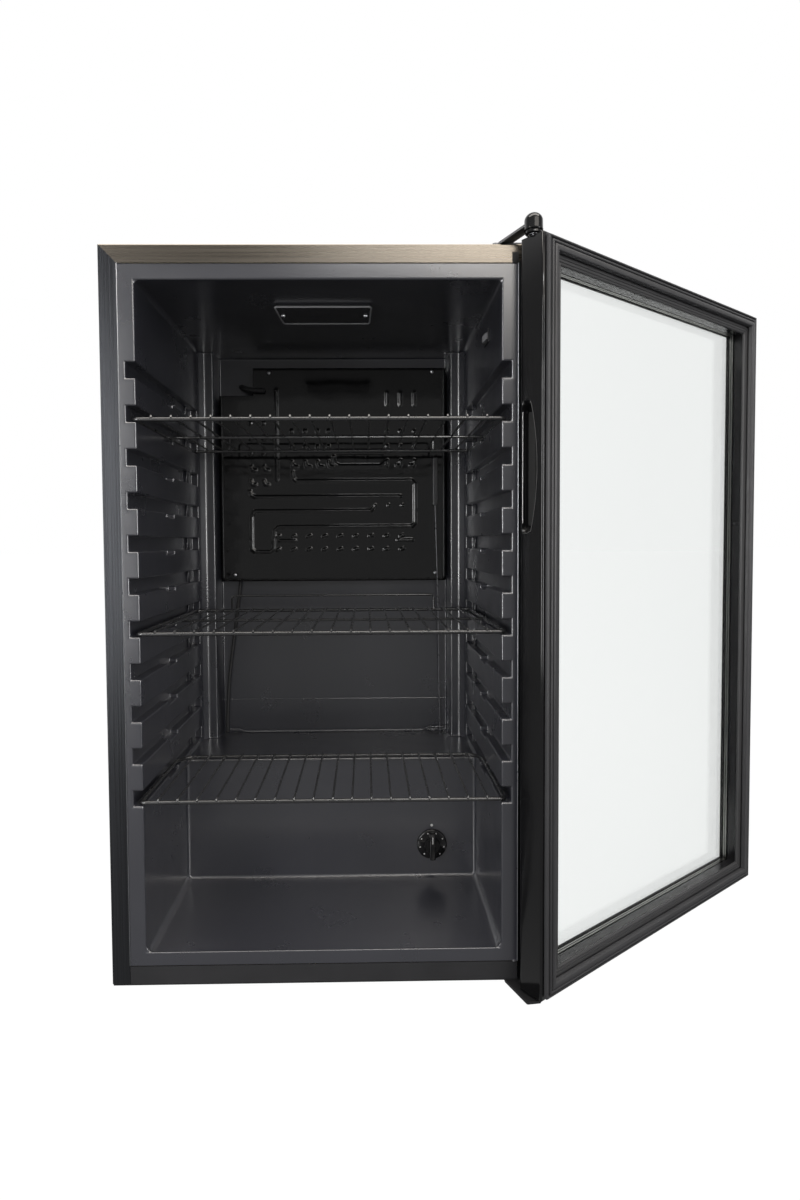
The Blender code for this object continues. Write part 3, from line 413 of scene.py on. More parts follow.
COPPER = moulded("copper", (0.62, 0.3, 0.17), 0.3, 1.35, 40.0, 700.0, 0.2, metallic=1.0)
LENS = moulded("smoked_lens", (0.045, 0.045, 0.048), 0.16, 1.2, 20.0, 500.0, 0.08)
WHITE = moulded("white_plastic", (0.62, 0.62, 0.6), 0.4, 1.1, 20.0, 900.0, 0.15)
SWITCH_GREY = moulded("grey_plastic", (0.36, 0.36, 0.37), 0.4, 1.1, 20.0, 900.0, 0.15)
MARK = moulded("printed_mark", (0.6, 0.6, 0.6), 0.5, 1.1, 50.0, 900.0, 0.1)
RECESS = moulded("reveal_black", (0.01, 0.01, 0.011), 0.22, 1.4, 10.0, 900.0, 0.1)
# black for the mitre seams, and painted shade for the grip's slot and the notch by the upper hinge
BLACK_SEAM_AND_SHADE = moulded("seam_black_and_painted_shade", (0.003, 0.003, 0.003), 0.6, 1.2, 20.0, 500.0, 0.1)
GLASS = glass()

NODE_LOOKS = {
    STEEL: ["outer_wrapper"],
    FOAM: ["insulation_foam"],
    PANEL: ["rear_panel", "base_tray"],
    METAL: ["compressor_base", "bottom_hinge_bracket"],
    HOLDER: ["sensor_holder"],
    MATTE: ["front_plinth", "relay_cover", "drip_tray", "light_switch_housing"],
    RUBBER: ["compressor_grommet", "cord_gland", "evaporator_cable", "foot"],
    GLASS: ["door_inner_glass", "door_outer_glass"],
    ZINC: ["sensor_capillary", "lamp_screw", "thermostat_body", "bottom_hinge_pin",
           "top_hinge_screw", "top_hinge_pin"],
    COPPER: ["suction_line", "filter_drier"],
    WHITE: ["lamp_housing", "lamp_board", "drain_tube", "door_top_bush", "door_bottom_bush"],
    SWITCH_GREY: ["light_switch_rocker"],
}


def repaint_nodes():
    """Gives CAD nodes their materials; each entry of NODE_LOOKS is how the nodes' names start."""
    for mat, starts in NODE_LOOKS.items():
        for name, obj in NODES.items():
            if name.startswith(tuple(starts)):
                obj.data.materials.clear()
                obj.data.materials.append(mat)


# ---- liner
def groove_floor(k):
    return TOP_GROOVE_Z - k * GROOVE_PITCH


def liner():
    """Vacuum-formed lining: flange, grooved walls, step over the machinery, columns and back."""
    bm = bmesh.new()
    known = {}

    def vert(x, y, z):
        key = (round(x, 6), round(y, 6), round(z, 6))
        if key not in known:
            known[key] = bm.verts.new(key)
        return known[key]

    def quad(*corners):
        ring = [vert(*c) for c in corners]
        if len(set(ring)) == 4:
            bm.faces.new(ring)

    def on_side(side, *corners):
        quad(*((side * x, y, z) for x, y, z in corners))

    sill_y = 0.012
    floor = {FLANGE_Y: SILL_Z}
    y_lines = [FLANGE_Y, sill_y, LAMP_Y[0], POCKET_Y[0], LAMP_Y[1], POCKET_Y[1], STEP_Y,
               *RIB_Y, GROOVE_END_Y, WALL_END_Y]
    z_lines = []
    levels = {}
    for k in reversed(range(GROOVES)):
        z = groove_floor(k)
        z_lines += [z - POCKET_DROP, z, z + GROOVE_HEIGHT]
        levels[z - POCKET_DROP] = "pocket"
        levels[z] = "groove"
    z_lines.append(CEILING_Z)
    z_lines[0] = STEP_Z
    levels[STEP_Z] = "pocket"

    def reach(y, z_low):
        """How far out the wall is in the cell that starts at y and z_low."""
        level = levels.get(z_low)
        if level == "groove" and y < GROOVE_END_Y:
            return GROOVE_X - RIB_HEIGHT if RIB_Y[0] <= y < RIB_Y[1] else GROOVE_X
        if level == "pocket" and POCKET_Y[0] <= y < POCKET_Y[1]:
            return GROOVE_X
        return WALL_X

    gap = 0.0004  # between the flange and the casing's folded border
    edge, bottom, top = WIDTH / 2 - BAND - gap, 0.0208, HEIGHT - BAND - gap
    rim = 0.0007  # a narrow outer strip, so that the rest of the flange is shaded flat
    bend = [(WALL_X, WALL_END_Y), (COLUMN_X, COLUMN_Y), (RECESS_X, COLUMN_Y), (BACK_X, BACK_Y)]
    for side in (-1, 1):
        for y0, y1 in pairwise(y_lines):
            if y0 < STEP_Y:
                on_side(side, (WALL_X, y0, floor.get(y0, FLOOR_Z)),
                        (WALL_X, y1, floor.get(y1, FLOOR_Z)), (WALL_X, y1, STEP_Z),
                        (WALL_X, y0, STEP_Z))
            below = WALL_X
            for z0, z1 in pairwise(z_lines):
                x = reach(y0, z0)
                on_side(side, (x, y0, z0), (x, y1, z0), (x, y1, z1), (x, y0, z1))
                if x != below:
                    on_side(side, (x, y0, z0), (x, y1, z0), (below, y1, z0), (below, y0, z0))
                below = x
        for z0, z1 in pairwise(z_lines):
            before = reach(FLANGE_Y, z0)
            for y0 in y_lines[:-1]:
                x = reach(y0, z0)
                if x != before:
                    on_side(side, (x, y0, z0), (x, y0, z1), (before, y0, z1), (before, y0, z0))
                before = x
            for (xa, ya), (xb, yb) in pairwise(bend):
                on_side(side, (xa, ya, z0), (xb, yb, z0), (xb, yb, z1), (xa, ya, z1))
        # flange beside the opening
        rows = [bottom, bottom + rim, SILL_Z, *z_lines, top - rim, top]
        for z0, z1 in pairwise(rows):
            spans = [(GROOVE_X, edge - rim), (edge - rim, edge)]
            if levels.get(z0) != "groove":
                spans.append((WALL_X, GROOVE_X))
            for a, b in spans:
                on_side(side, (a, FLANGE_Y, z0), (b, FLANGE_Y, z0), (b, FLANGE_Y, z1),
                        (a, FLANGE_Y, z1))

    # lines across the ceiling, floor, step and back
    half_x = [0.0, LAMP_X, 0.146, RECESS_X]
    columns = [(-b, -a) for a, b in reversed(list(pairwise(half_x)))]
    columns += list(pairwise(half_x))

    def strip(y0, y1, z0, z1, keep=lambda a, b: True):
        """A sheet across the cabinet between two lines, out to the walls or columns."""
        def out(y):
            return COLUMN_X if y == COLUMN_Y else WALL_X
        if y0 == COLUMN_Y:
            narrow = {side * RECESS_X: side * BACK_X for side in (-1, 1)}
            for a, b in columns:
                quad((a, y0, z0), (b, y0, z0), (narrow.get(b, b), y1, z1),
                     (narrow.get(a, a), y1, z1))
            return
        for a, b in columns:
            if keep(a, b):
                quad((a, y0, z0), (b, y0, z0), (b, y1, z1), (a, y1, z1))
        for side in (-1, 1):
            on_side(side, (RECESS_X, y0, z0), (out(y0), y0, z0), (out(y1), y1, z1),
                    (RECESS_X, y1, z1))

    depths = [*y_lines, COLUMN_Y, BACK_Y]
    for y0, y1 in pairwise(depths):
        over_lamp = LAMP_Y[0] <= y0 < LAMP_Y[1]
        strip(y0, y1, CEILING_Z, CEILING_Z,
              lambda a, b: not (over_lamp and max(abs(a), abs(b)) <= LAMP_X))
        if y0 < STEP_Y:
            strip(y0, y1, floor.get(y0, FLOOR_Z), floor.get(y1, FLOOR_Z))
        else:
            strip(y0, y1, STEP_Z, STEP_Z)
    strip(STEP_Y, STEP_Y, FLOOR_Z, STEP_Z)
    for z0, z1 in ((bottom, bottom + rim), (bottom + rim, SILL_Z), (CEILING_Z, top - rim),
                   (top - rim, top)):
        strip(FLANGE_Y, FLANGE_Y, z0, z1)
    for z0, z1 in pairwise(z_lines):
        for a, b in columns:
            a, b = (copysign(min(abs(x), BACK_X), x) for x in (a, b))
            quad((a, BACK_Y, z0), (b, BACK_Y, z0), (b, BACK_Y, z1), (a, BACK_Y, z1))

    bmesh.ops.recalc_face_normals(bm, faces=bm.faces)
    back = next(f for f in bm.faces if all(abs(v.co.y - BACK_Y) < 1e-5 for v in f.verts))
    if back.normal.y > 0:
        bmesh.ops.reverse_faces(bm, faces=bm.faces)
    weigh_liner_edges(bm)
    obj = piece("formed_liner", bm, LINER, stands_for="inner_liner", slot="graphite_liner",
                sharp=180)
    soft = obj.modifiers.new("formed_edges", "BEVEL")
    soft.limit_method = "WEIGHT"
    soft.width = WIDEST
    soft.segments = 4
    soft.use_clamp_overlap = False
    soft.miter_outer = "MITER_SHARP"
    sheet = obj.modifiers.new("sheet", "SOLIDIFY")
    sheet.thickness = 0.0012
    sheet.offset = -1.0
    smooth = obj.modifiers.new("smooth", "WEIGHTED_NORMAL")
    smooth.keep_sharp = False
    smooth.weight = 80


def weigh_liner_edges(bm):
    """Gives each folded edge of the liner its own radius."""
    layer = bm.edges.layers.float.new("bevel_weight_edge")
    for edge in bm.edges:
        if len(edge.link_faces) != 2 or edge.calc_face_angle(0.0) < radians(12):
            continue
        a, b = (v.co for v in edge.verts)
        middle = (a + b) / 2
        x, y, z = abs(middle.x), middle.y, middle.z
        lengthwise = abs(a.y - b.y) > 1e-5
        radius = 0.0018
        if y < FLANGE_Y + 0.0001:
            radius = 0.0024
        elif RIB_Y[0] - 0.001 < y < RIB_Y[1] + 0.001 and not lengthwise:
            radius = 0.0008
        elif lengthwise and abs(z - CEILING_Z) < 1e-4 and y < WALL_END_Y:
            radius = 0.008 if y < 0.006 else 0.006
        elif lengthwise and z < SILL_Z + 0.001:
            radius = 0.008
        elif abs(y - STEP_Y) < 1e-4 and abs(a.x - b.x) > 1e-5:
            radius = 0.0046
        elif abs(y - STEP_Y) < 1e-4 and z < STEP_Z - 0.002:
            radius = 0.0046
        elif y > GROOVE_END_Y + 0.002:
            radius = 0.0022
        elif x > WALL_X + 0.002 and not lengthwise:
            radius = 0.0016
        edge[layer] = radius / WIDEST


# ---- evaporator
PLATE_Y, PLATE_HALF, PLATE_Z = 0.3205, 0.1745, (0.44, 0.769)
NOTCH_X, NOTCH_Z = -0.123, 0.727


def mm(*values):
    return tuple(v / 1000 for v in values)


def channel_segments():
    """The blown channels of the plate, as (x, z) segments; a dot is a very short segment."""
    runs = [
        ((-87, 736), (-87, 597)),
        ((-63, 609), (-61.5, 599), (-57, 595.5), (122, 595.5), (127, 590), (127, 530),
         (122, 524.5), (-85, 524.5), (-92, 519), (-94, 490), (-98, 486), (-122, 486), (-127, 490),
         (-127, 540), (-122, 549), (58, 549), (61.5, 553)),
        ((-129, 580), (-127, 574), (-121, 571), (104, 571)),
        ((3, 641), (79, 641)),
        ((1, 633), (3, 622), (9, 618.5), (74, 618.5), (81, 624)),
        ((-84, 503), (-60, 503)),
        ((100, 503), (122, 503)),
    ]
    for x in (84, 104.5, 126):
        runs.append(((x, 731), (x, 712)))
        for z in (672, 649, 626):
            runs.append(((x, z), (x, z - 1)))
        runs.append(((x - 6, 619.5), (x - 2, 617.5), (x, 621)))
    for row in (509, 488.5):
        for k in range(9):
            runs.append(((-88 + 24 * k, row), (-84 + 24 * k, row + 1.5)))
    for x in (65, 86, 107):
        runs.append(((x, 557), (x, 557)))
    for x in (-127, -107):
        for k in range(5):
            runs.append(((x, 686 - 22.5 * k), (x, 684 - 22.5 * k)))
        for z in (618, 595.5):
            runs.append(((x, z), (x + 2, z - 5), (x + 7, z - 6)))
    for x in (-64, -43, -24, -7):
        for k in range(3):
            runs.append(((x, 673 - 24 * k), (x, 671 - 24 * k)))
        runs.append(((x, 623), (x + 2, 618), (x + 8, 617)))
    segments = []
    for run in runs:
        for a, b in pairwise(run):
            segments.append((mm(*a), mm(*b)))
    return segments


def evaporator():
    """Roll-bond plate with raised channels, its screws and the sleeved line."""
    fine, coarse = 0.0013, 0.006
    zone_x, zone_z = (-0.139, 0.139), (0.478, 0.741)

    def lines(low, high, zone, notch):
        """Grid lines, fine over the channels, with one exactly at the notch's edge."""
        found = [*np.arange(low, zone[0], coarse), *np.arange(*zone, fine),
                 *np.arange(zone[1], high, coarse), high, notch]
        kept = []
        for value in sorted(found):
            if not kept or value - kept[-1] >= fine * 0.4:
                kept.append(value)
            elif value in (notch, high):
                kept[-1] = value
        return np.array(kept)

    xs = lines(-PLATE_HALF, PLATE_HALF, zone_x, NOTCH_X)
    zs = lines(*PLATE_Z, zone_z, NOTCH_Z)
    gx, gz = np.meshgrid(xs, zs, indexing="ij")
    nearest = np.full(gx.shape, 1.0)
    for (ax, az), (bx, bz) in channel_segments():
        dx, dz = bx - ax, bz - az
        length = dx * dx + dz * dz
        along = ((gx - ax) * dx + (gz - az) * dz) / length if length else np.zeros(gx.shape)
        along = np.clip(along, 0.0, 1.0)
        nearest = np.minimum(nearest, np.hypot(gx - ax - along * dx, gz - az - along * dz))
    channel_half, channel_height = 0.004, 0.0021
    swell = np.where(nearest < channel_half,
                     0.5 + 0.5 * np.cos(np.pi * np.minimum(nearest / channel_half, 1.0)), 0.0)
    wave = 0.0001 * np.sin(gx * 41 + 1.3) * np.cos(gz * 33) + 0.00005 * np.sin(gx * 97 + gz * 71)
    front = PLATE_Y - channel_height * swell + wave

    bm = bmesh.new()
    rows = [[bm.verts.new((x, front[i, j], z)) for j, z in enumerate(zs)] for i, x in enumerate(xs)]
    for i in range(len(xs) - 1):
        for j in range(len(zs) - 1):
            if xs[i] < NOTCH_X - 1e-6 and zs[j] > NOTCH_Z - 1e-6:
                continue
            bm.faces.new((rows[i][j], rows[i + 1][j], rows[i + 1][j + 1], rows[i][j + 1]))
    loose = [v for v in bm.verts if not v.link_faces]
    bmesh.ops.delete(bm, geom=loose, context="VERTS")
    obj = piece("roll_bond_plate", bm, PLATE, stands_for="evaporator_plate",
                slot="black_gloss_plastic", sharp=60)
    sheet = obj.modifiers.new("sheet", "SOLIDIFY")
    sheet.thickness = 0.0013
    sheet.offset = -1.0

    bm = bmesh.new()
    head = [(0, 0.0016), (0.0016, 0.0014), (0.0026, 0.0006), (0.0029, 0.0), (0, 0.0)]
    for x, z in ((-98, 762), (154, 763), (-154, 450), (158, 452)):
        turned(bm, head, (x / 1000, PLATE_Y - 0.0006, z / 1000), "Y", 16)
    piece("plate_screws", tidy(bm), ZINC, slot="zinc_plated_steel")

    x, z, line_y = -0.142, 0.742, PLATE_Y - 0.0048
    route = [(-0.106, line_y, 0.734), (-0.12, line_y, 0.7345),
             (-0.132, line_y + 0.001, 0.7365), (x + 0.002, line_y + 0.007, z - 0.0015),
             (x, BACK_Y - 0.002, z), (x, BACK_Y + 0.012, z), (x, DEPTH - 0.004, z)]
    bm = bmesh.new()
    tube(bm, smooth_route(route, 8), 0.004, 16, domed=True)
    piece("sleeved_line", tidy(bm), RUBBER, stands_for="evaporator_line", slot="copper")


# ---- shelves
def shelf(name, groove, depth, upstand, corner):
    """Welded wire shelf: border, rods from front to back, a cross rod and a rear upstand."""
    border_wire, rod_wire = 0.0024, 0.0014
    z = groove_floor(groove) + border_wire + 0.0006
    half, front = 0.2085 - border_wire, 0.0045
    back = front + depth - 2 * border_wire
    corners = [(-half, front), (half, front), (half, back), (-half, back)]
    bm = bmesh.new()
    outline = rounded(corners, [0.006, 0.006, corner, corner], 8)
    tube(bm, [(u, v, z) for u, v in outline], border_wire, 12, closed=True)
    seat = border_wire + rod_wire - 0.0005
    rods, span = 18, 0.372
    for k in range(rods):
        u = -span / 2 + k * span / (rods - 1)
        tube(bm, [(u, front - 0.0016, z + seat - 0.0016), (u, front - 0.0008, z + seat),
                  (u, front + 0.0012, z + seat + 0.0003), (u, front + 0.005, z + seat - 0.0004),
                  (u, back + 0.001, z + seat - 0.0004)], rod_wire, 10, domed=True)
    if upstand:
        cross_y = front + 0.138
        tube(bm, [(-half - 0.0005, cross_y, z), (half + 0.0005, cross_y, z)], 0.0018, 10,
             domed=True)
        top, r, u = z + seat + 0.019, 0.005, 0.152
        hoop = rounded([(-u, z), (-u, top), (u, top), (u, z)], [0, r, r, 0], 6)
        tube(bm, [(p[0], back, p[1]) for p in hoop], 0.0016, 10)
    piece(f"{name}_wires", tidy(bm, 1e-7), WIRE, body=f"{name}_body", stands_for=name,
          slot="black_coated_metal")


# ---- door
def door_corner(inset, y, k, least=0.0):
    """Corner k of a rectangle set in from the door's edge, from the bottom hinge side round."""
    x = DOOR_HALF - max(inset, least)
    sx, top = ((1, False), (1, True), (-1, True), (-1, False))[k]
    return (sx * x, y, DOOR_TOP - inset if top else DOOR_BOTTOM + inset)


def door_inset(point):
    """How far a point of the shut door lies in from the door's nearest edge."""
    return min(DOOR_HALF - abs(point.x), DOOR_TOP - point.z, point.z - DOOR_BOTTOM)


def door_ring(name, section, material, **options):
    """A mitred ring round the door from a section of (distance in from the edge, Y)."""
    bm = bmesh.new()
    loft(bm, [[door_corner(w, y, k) for w, y in section] for k in range(4)], closed=True)
    in_door(name, tidy(bm), material, **options)


def arc(centre, radius, start, end, steps=5):
    """Points of an arc in a section; angles in degrees."""
    return [
        (centre[0] + radius * cos(radians(a)), centre[1] + radius * sin(radians(a)))
        for a in (start + (end - start) * k / steps for k in range(steps + 1))
    ]


def frame_section(edge):
    """Door frame section, from its outer edge in to the opening, ribbed beside the opening."""
    inner, outer = DOOR_INNER_Y, DOOR_OUTER_Y
    slot_low, slot_high = outer + 0.003, inner - 0.014
    points = [(edge + 0.001, outer), (RAIL - 0.001, outer), (RAIL, outer + 0.001),
              (RAIL, slot_low), (0.016, slot_low), (0.016, slot_high), (RAIL, slot_high)]
    points += [(RAIL, inner - 0.003), *arc((RAIL - 0.002, inner - 0.0022), 0.002, -20, 90)]
    ribs = [(0.0272, -0.0007), (0.0266, -0.0007), (0.0263, 0.0), (0.024, 0.0), (0.0237, -0.0008),
            (0.0231, -0.0008), (0.0228, 0.0), (0.0206, 0.0), (0.0203, -0.0012), (0.0195, -0.0014)]
    points += [(w, inner + dy - 0.0002) for w, dy in ribs]
    points += [(edge + 0.001, inner - 0.0008), (edge, inner - 0.0018), (edge, outer + 0.001)]
    return points


def door_frame():
    """Two rails between the trims and two stiles inside them, mitred at the opening's corners."""
    seam, steps, past_trim = 0.00012, 12, TRIM + 0.0003
    sides = [("door_hinge_stile", 0, 1, past_trim), ("door_top_rail", 1, 2, 0.0),
             ("door_latch_stile", 2, 3, past_trim), ("door_bottom_rail", 3, 0, 0.0)]
    for name, a, b, edge in sides:
        section = frame_section(edge)
        ends = []
        for k, other in ((a, b), (b, a)):
            ring = []
            for w, y in section:
                here = Vector(door_corner(w, y, k, past_trim))
                away = Vector(door_corner(w, y, other, past_trim))
                ring.append(here + (away - here).normalized() * seam)
            ends.append(ring)
        bm = bmesh.new()
        loft(bm, [[p.lerp(q, s / steps) for p, q in zip(*ends)] for s in range(steps + 1)])
        tidy(bm)
        for face in bm.faces:
            deep = face.calc_center_median().y < DOOR_INNER_Y - 0.0032
            reveal = any(abs(door_inset(v.co) - RAIL) < 0.0001 for v in face.verts)
            if deep and reveal:
                face.material_index = 1
        in_door(f"{name}_profile", bm, FRAME, RECESS, stands_for=name,
                slot="black_matte_plastic", sharp=28)


def door_seal():
    """Magnetic seal: an outer lip, a bellows and the magnet strip, welded at the corners."""
    base, face = DOOR_INNER_Y + 0.0004, -0.0003
    section = [(0.0042, base), (0.0042, face - 0.0022), (0.005, face - 0.0012),
               (0.006, face - 0.0012), (0.0066, face - 0.0022), (0.0068, base + 0.0014),
               (0.0078, base + 0.001), (0.0084, base + 0.0016), (0.0086, face - 0.0012),
               (0.0094, face - 0.0003), (0.0104, face - 0.0003), (0.011, face - 0.001),
               (0.0114, face - 0.0026), (0.012, face - 0.0026), (0.0124, face - 0.0008),
               (0.0132, face), (0.0176, face), (0.0184, face - 0.0008), (0.0186, face - 0.003),
               (0.019, face - 0.0036), (0.019, base)]
    door_ring("magnetic_seal", section, SEAL, stands_for="door_gasket", slot="black_rubber",
              sharp=50)


def glazing_spacer():
    """Spacer between the panes: two bright lips and a dark sealed channel between them."""
    low, high = -0.0305, -0.0252
    body = [(0.02, low), (0.0287, low), (0.0287, high), (0.02, high)]
    door_ring("spacer_sealant", body, DARK_ALUMINIUM, stands_for="glass_spacer",
              slot="aluminium")
    for n, (a, b) in enumerate(((low + 0.0003, low + 0.0019), (high - 0.0021, high - 0.0004)), 1):
        lip = [(0.0286, a), (0.0294, a + 0.0001), (0.0296, (a + b) / 2), (0.0294, b - 0.0001),
               (0.0286, b)]
        door_ring(f"spacer_lip_{n}", lip, ALUMINIUM, slot="aluminium")


def trim_section():
    """Section of an edge trim as (distance in from the door's edge, Y), its outer corners round."""
    inner, outer = DOOR_INNER_Y, DOOR_OUTER_Y
    points = arc((OUTER_ROUND, outer + OUTER_ROUND), OUTER_ROUND, 270, 180, 6)
    points += arc((INNER_ROUND, inner - INNER_ROUND), INNER_ROUND, 180, 90)
    points += [(TRIM - 0.0006, inner), (TRIM, inner - 0.0006), (TRIM, outer + 0.0006),
               (TRIM - 0.0006, outer)]
    return points


def grip_bow(z, bulge=GRIP_BULGE, rise=0.0088):
    """Y of the finger grip's bowed side at a height; rise is how far it bows out."""
    low, high = GRIP_Z
    half, mid = (high - low) / 2, (high + low) / 2
    radius = (half ** 2 + rise ** 2) / (2 * rise)
    return DOOR_INNER_Y - GRIP_FLAT + bulge - radius + sqrt(radius ** 2 - (z - mid) ** 2)


def grip_depth(y, z):
    """Depth of the finger grip's dished recess at a point on the trim's side face."""
    low, high = GRIP_Z
    to_flat = y - (DOOR_INNER_Y - GRIP_FLAT)
    to_end = min(z - low, high - z)
    if to_end <= 0 or to_flat <= 0:
        return 0.0
    to_bow = grip_bow(z) - y
    if to_bow <= 0:
        return 0.0
    steep, gentle = 0.0012, 0.009  # widths of the slopes at the flat side and elsewhere
    wall = min(1.0, to_flat / steep)
    slope = min(1.0, to_bow / gentle)
    end = min(1.0, to_end / gentle)
    smooth = (slope * slope * (3 - 2 * slope)) ** 0.8 * end * end * (3 - 2 * end)
    return GRIP_DEPTH * wall * smooth


def edge_trims():
    """Glossy upright trims: rounded outer edges, a dished D-shaped grip and rounded ends."""
    rounding = 0.002
    for side, word in ((1, "hinge"), (-1, "latch")):
        bm = bmesh.new()
        section = trim_section()
        # the side face is cut into fine strips so that the grip can be dished into it
        first_arc = 7
        fine_y = np.linspace(DOOR_OUTER_Y + OUTER_ROUND, DOOR_INNER_Y - INNER_ROUND, 30)[1:-1]
        ring = section[:first_arc] + [(0.0, y) for y in fine_y] + section[first_arc:]
        low, high = GRIP_Z
        zs = [DOOR_BOTTOM, DOOR_BOTTOM + 0.0006, DOOR_BOTTOM + rounding, 0.25, low - 0.006]
        zs += list(np.linspace(low - 0.002, high + 0.002, 100))
        zs += [high + 0.006, 0.75, DOOR_TOP - rounding, DOOR_TOP - 0.0006, DOOR_TOP]
        rings = []
        for z in zs:
            end = min(z - DOOR_BOTTOM, DOOR_TOP - z)
            tuck = rounding * (1 - min(end / rounding, 1.0)) ** 2
            points = []
            for w, y in ring:
                depth = grip_depth(y, z) if w < 0.0001 else 0.0
                y_in = min(max(y, DOOR_OUTER_Y + tuck), DOOR_INNER_Y - tuck)
                points.append((side * (DOOR_HALF - max(w + depth, tuck)), y_in, z))
            rings.append(points)
        loft(bm, rings)
        if side < 0:
            bmesh.ops.recalc_face_normals(bm, faces=bm.faces)
        in_door(f"door_{word}_edge_trim", tidy(bm, 1e-7), GLOSS,
                stands_for=f"door_{word}_trim", slot="black_gloss_plastic", sharp=55)

        # beads along the grip's outline: their gloss catches the lights, and their lighter colour is a
        # painted highlight
        flat = DOOR_INNER_Y - GRIP_FLAT
        rim_x = side * (DOOR_HALF - 0.0003)
        heights = np.linspace(low + 0.006, high - 0.004, 40)
        bow = [(rim_x, grip_bow(z), z) for z in heights]
        foot = [(rim_x, flat + 0.001, low), (rim_x, flat + 0.006, low - 0.0002),
                (rim_x, flat + 0.011, low + 0.002)]
        head = [(rim_x, grip_bow(high - 0.002) - 0.0012, high - 0.0012)]
        bm = bmesh.new()
        tube(bm, [*foot, *bow, *head], 0.0005, 8, domed=True)
        tube(bm, [(rim_x, flat, low + 0.011), (rim_x, flat, high - 0.012)], 0.0006, 8, domed=True)
        in_door(f"grip_rim_{word}", tidy(bm, 1e-7), GRIP_RIM_HIGHLIGHT, slot="black_gloss_plastic")

        # painted shade: a thin black slab on the floor of the grip's dish stands for the shade of the
        # deeper slot there
        slot_low, slot_high = low + 0.008, high - 0.011
        outline = [(flat + 0.0012, slot_low + 0.002), (flat + 0.002, slot_low)]
        outline += [(grip_bow(z, 0.0112, 0.004), z)
                    for z in np.linspace(slot_low + 0.001, slot_high - 0.001, 20)]
        outline += [(flat + 0.002, slot_high), (flat + 0.0012, slot_high - 0.002)]
        x_a, x_b = sorted((side * (DOOR_HALF - GRIP_DEPTH - 0.0005),
                           side * (DOOR_HALF - GRIP_DEPTH + 0.0009)))
        bm = bmesh.new()
        slab(bm, outline, x_a, x_b, "YZ", 0.0003)
        in_door(f"grip_slot_shade_{word}", tidy(bm), BLACK_SEAM_AND_SHADE, slot="black_gloss_plastic")


# ---- hinges
def hinges():
    """Upper bracket with its sloping arm, the cap on the pin and the collar under it."""
    plate, pin = HEIGHT + 0.0003, (PIVOT_X, PIVOT_Y, 0)
    bm = bmesh.new()
    outline = rounded([(0.192, 0.004), (0.234, 0.004), (0.234, 0.046), (0.192, 0.046)], 0.004, 4)
    slab(bm, outline, plate, plate + 0.003, "XY", 0.0005)
    root, eye = Vector((0.203, 0.007, plate + 0.0014)), Vector((PIVOT_X, PIVOT_Y, 0.836))
    along = (eye - root).normalized()
    across = along.cross(Vector((0, 0, 1))).normalized()
    up = across.cross(along).normalized()
    half_wide, half_thick = 0.0068, 0.0014
    section = rounded([(-half_wide, -half_thick), (half_wide, -half_thick),
                       (half_wide, half_thick), (-half_wide, half_thick)], 0.0006, 3)
    loft(bm, [[p + across * u + up * v for u, v in section] for p in (root, eye)])
    turned(bm, [(0, 0.0015), (0.0086, 0.0015), (0.0092, 0.0009), (0.0092, -0.0009),
                (0.0086, -0.0015), (0, -0.0015)], eye)
    piece("upper_hinge_bracket", tidy(bm), HINGE_STEEL, stands_for="top_hinge_bracket",
          slot="zinc_plated_steel")

    bm = bmesh.new()
    dome = [(0.0098 * cos(a), 0.8382 + 0.0088 * sin(a))
            for a in (pi / 2 * (1 - k / 11) for k in range(12))]
    dome[0] = (0.0, dome[0][1])
    turned(bm, [*dome, (0.01, 0.83), (0.0102, 0.829), (0.0098, 0.8282), (0, 0.8282)],
           pin, steps=36)
    piece("upper_hinge_cap", tidy(bm), GLOSS, stands_for="top_hinge_cap",
          slot="black_matte_plastic")

    bm = bmesh.new()
    turned(bm, [(0.0057, 0.828), (0.0086, 0.8279), (0.0089, 0.8272), (0.0088, 0.825),
                (0.008, 0.8244), (0.0057, 0.8243)], pin)
    piece("hinge_collar", tidy(bm), GLOSS, slot="black_gloss_plastic")


# ---- lamp, knob, switch
def lamp_cover():
    """Smoked lamp cover with a raised rim, its ends cut at a slant."""
    low, high = 0.081, 0.146
    outline = rounded([(-0.0585, low), (0.0585, low), (0.0565, high), (-0.0545, high)],
                      [0.003, 0.004, 0.004, 0.003], 5)
    bm = bmesh.new()
    slab(bm, outline, CEILING_Z - 0.0035, CEILING_Z - 0.0003, "XY", 0.001)
    piece("lamp_lens", tidy(bm), LENS, stands_for="lamp_cover", slot="clear_lens")
    bm = bmesh.new()
    tube(bm, [(u, v, CEILING_Z - 0.0034) for u, v in outline], 0.001, 8, closed=True)
    piece("lamp_rim", tidy(bm), SWITCH_GREY, slot="clear_lens")


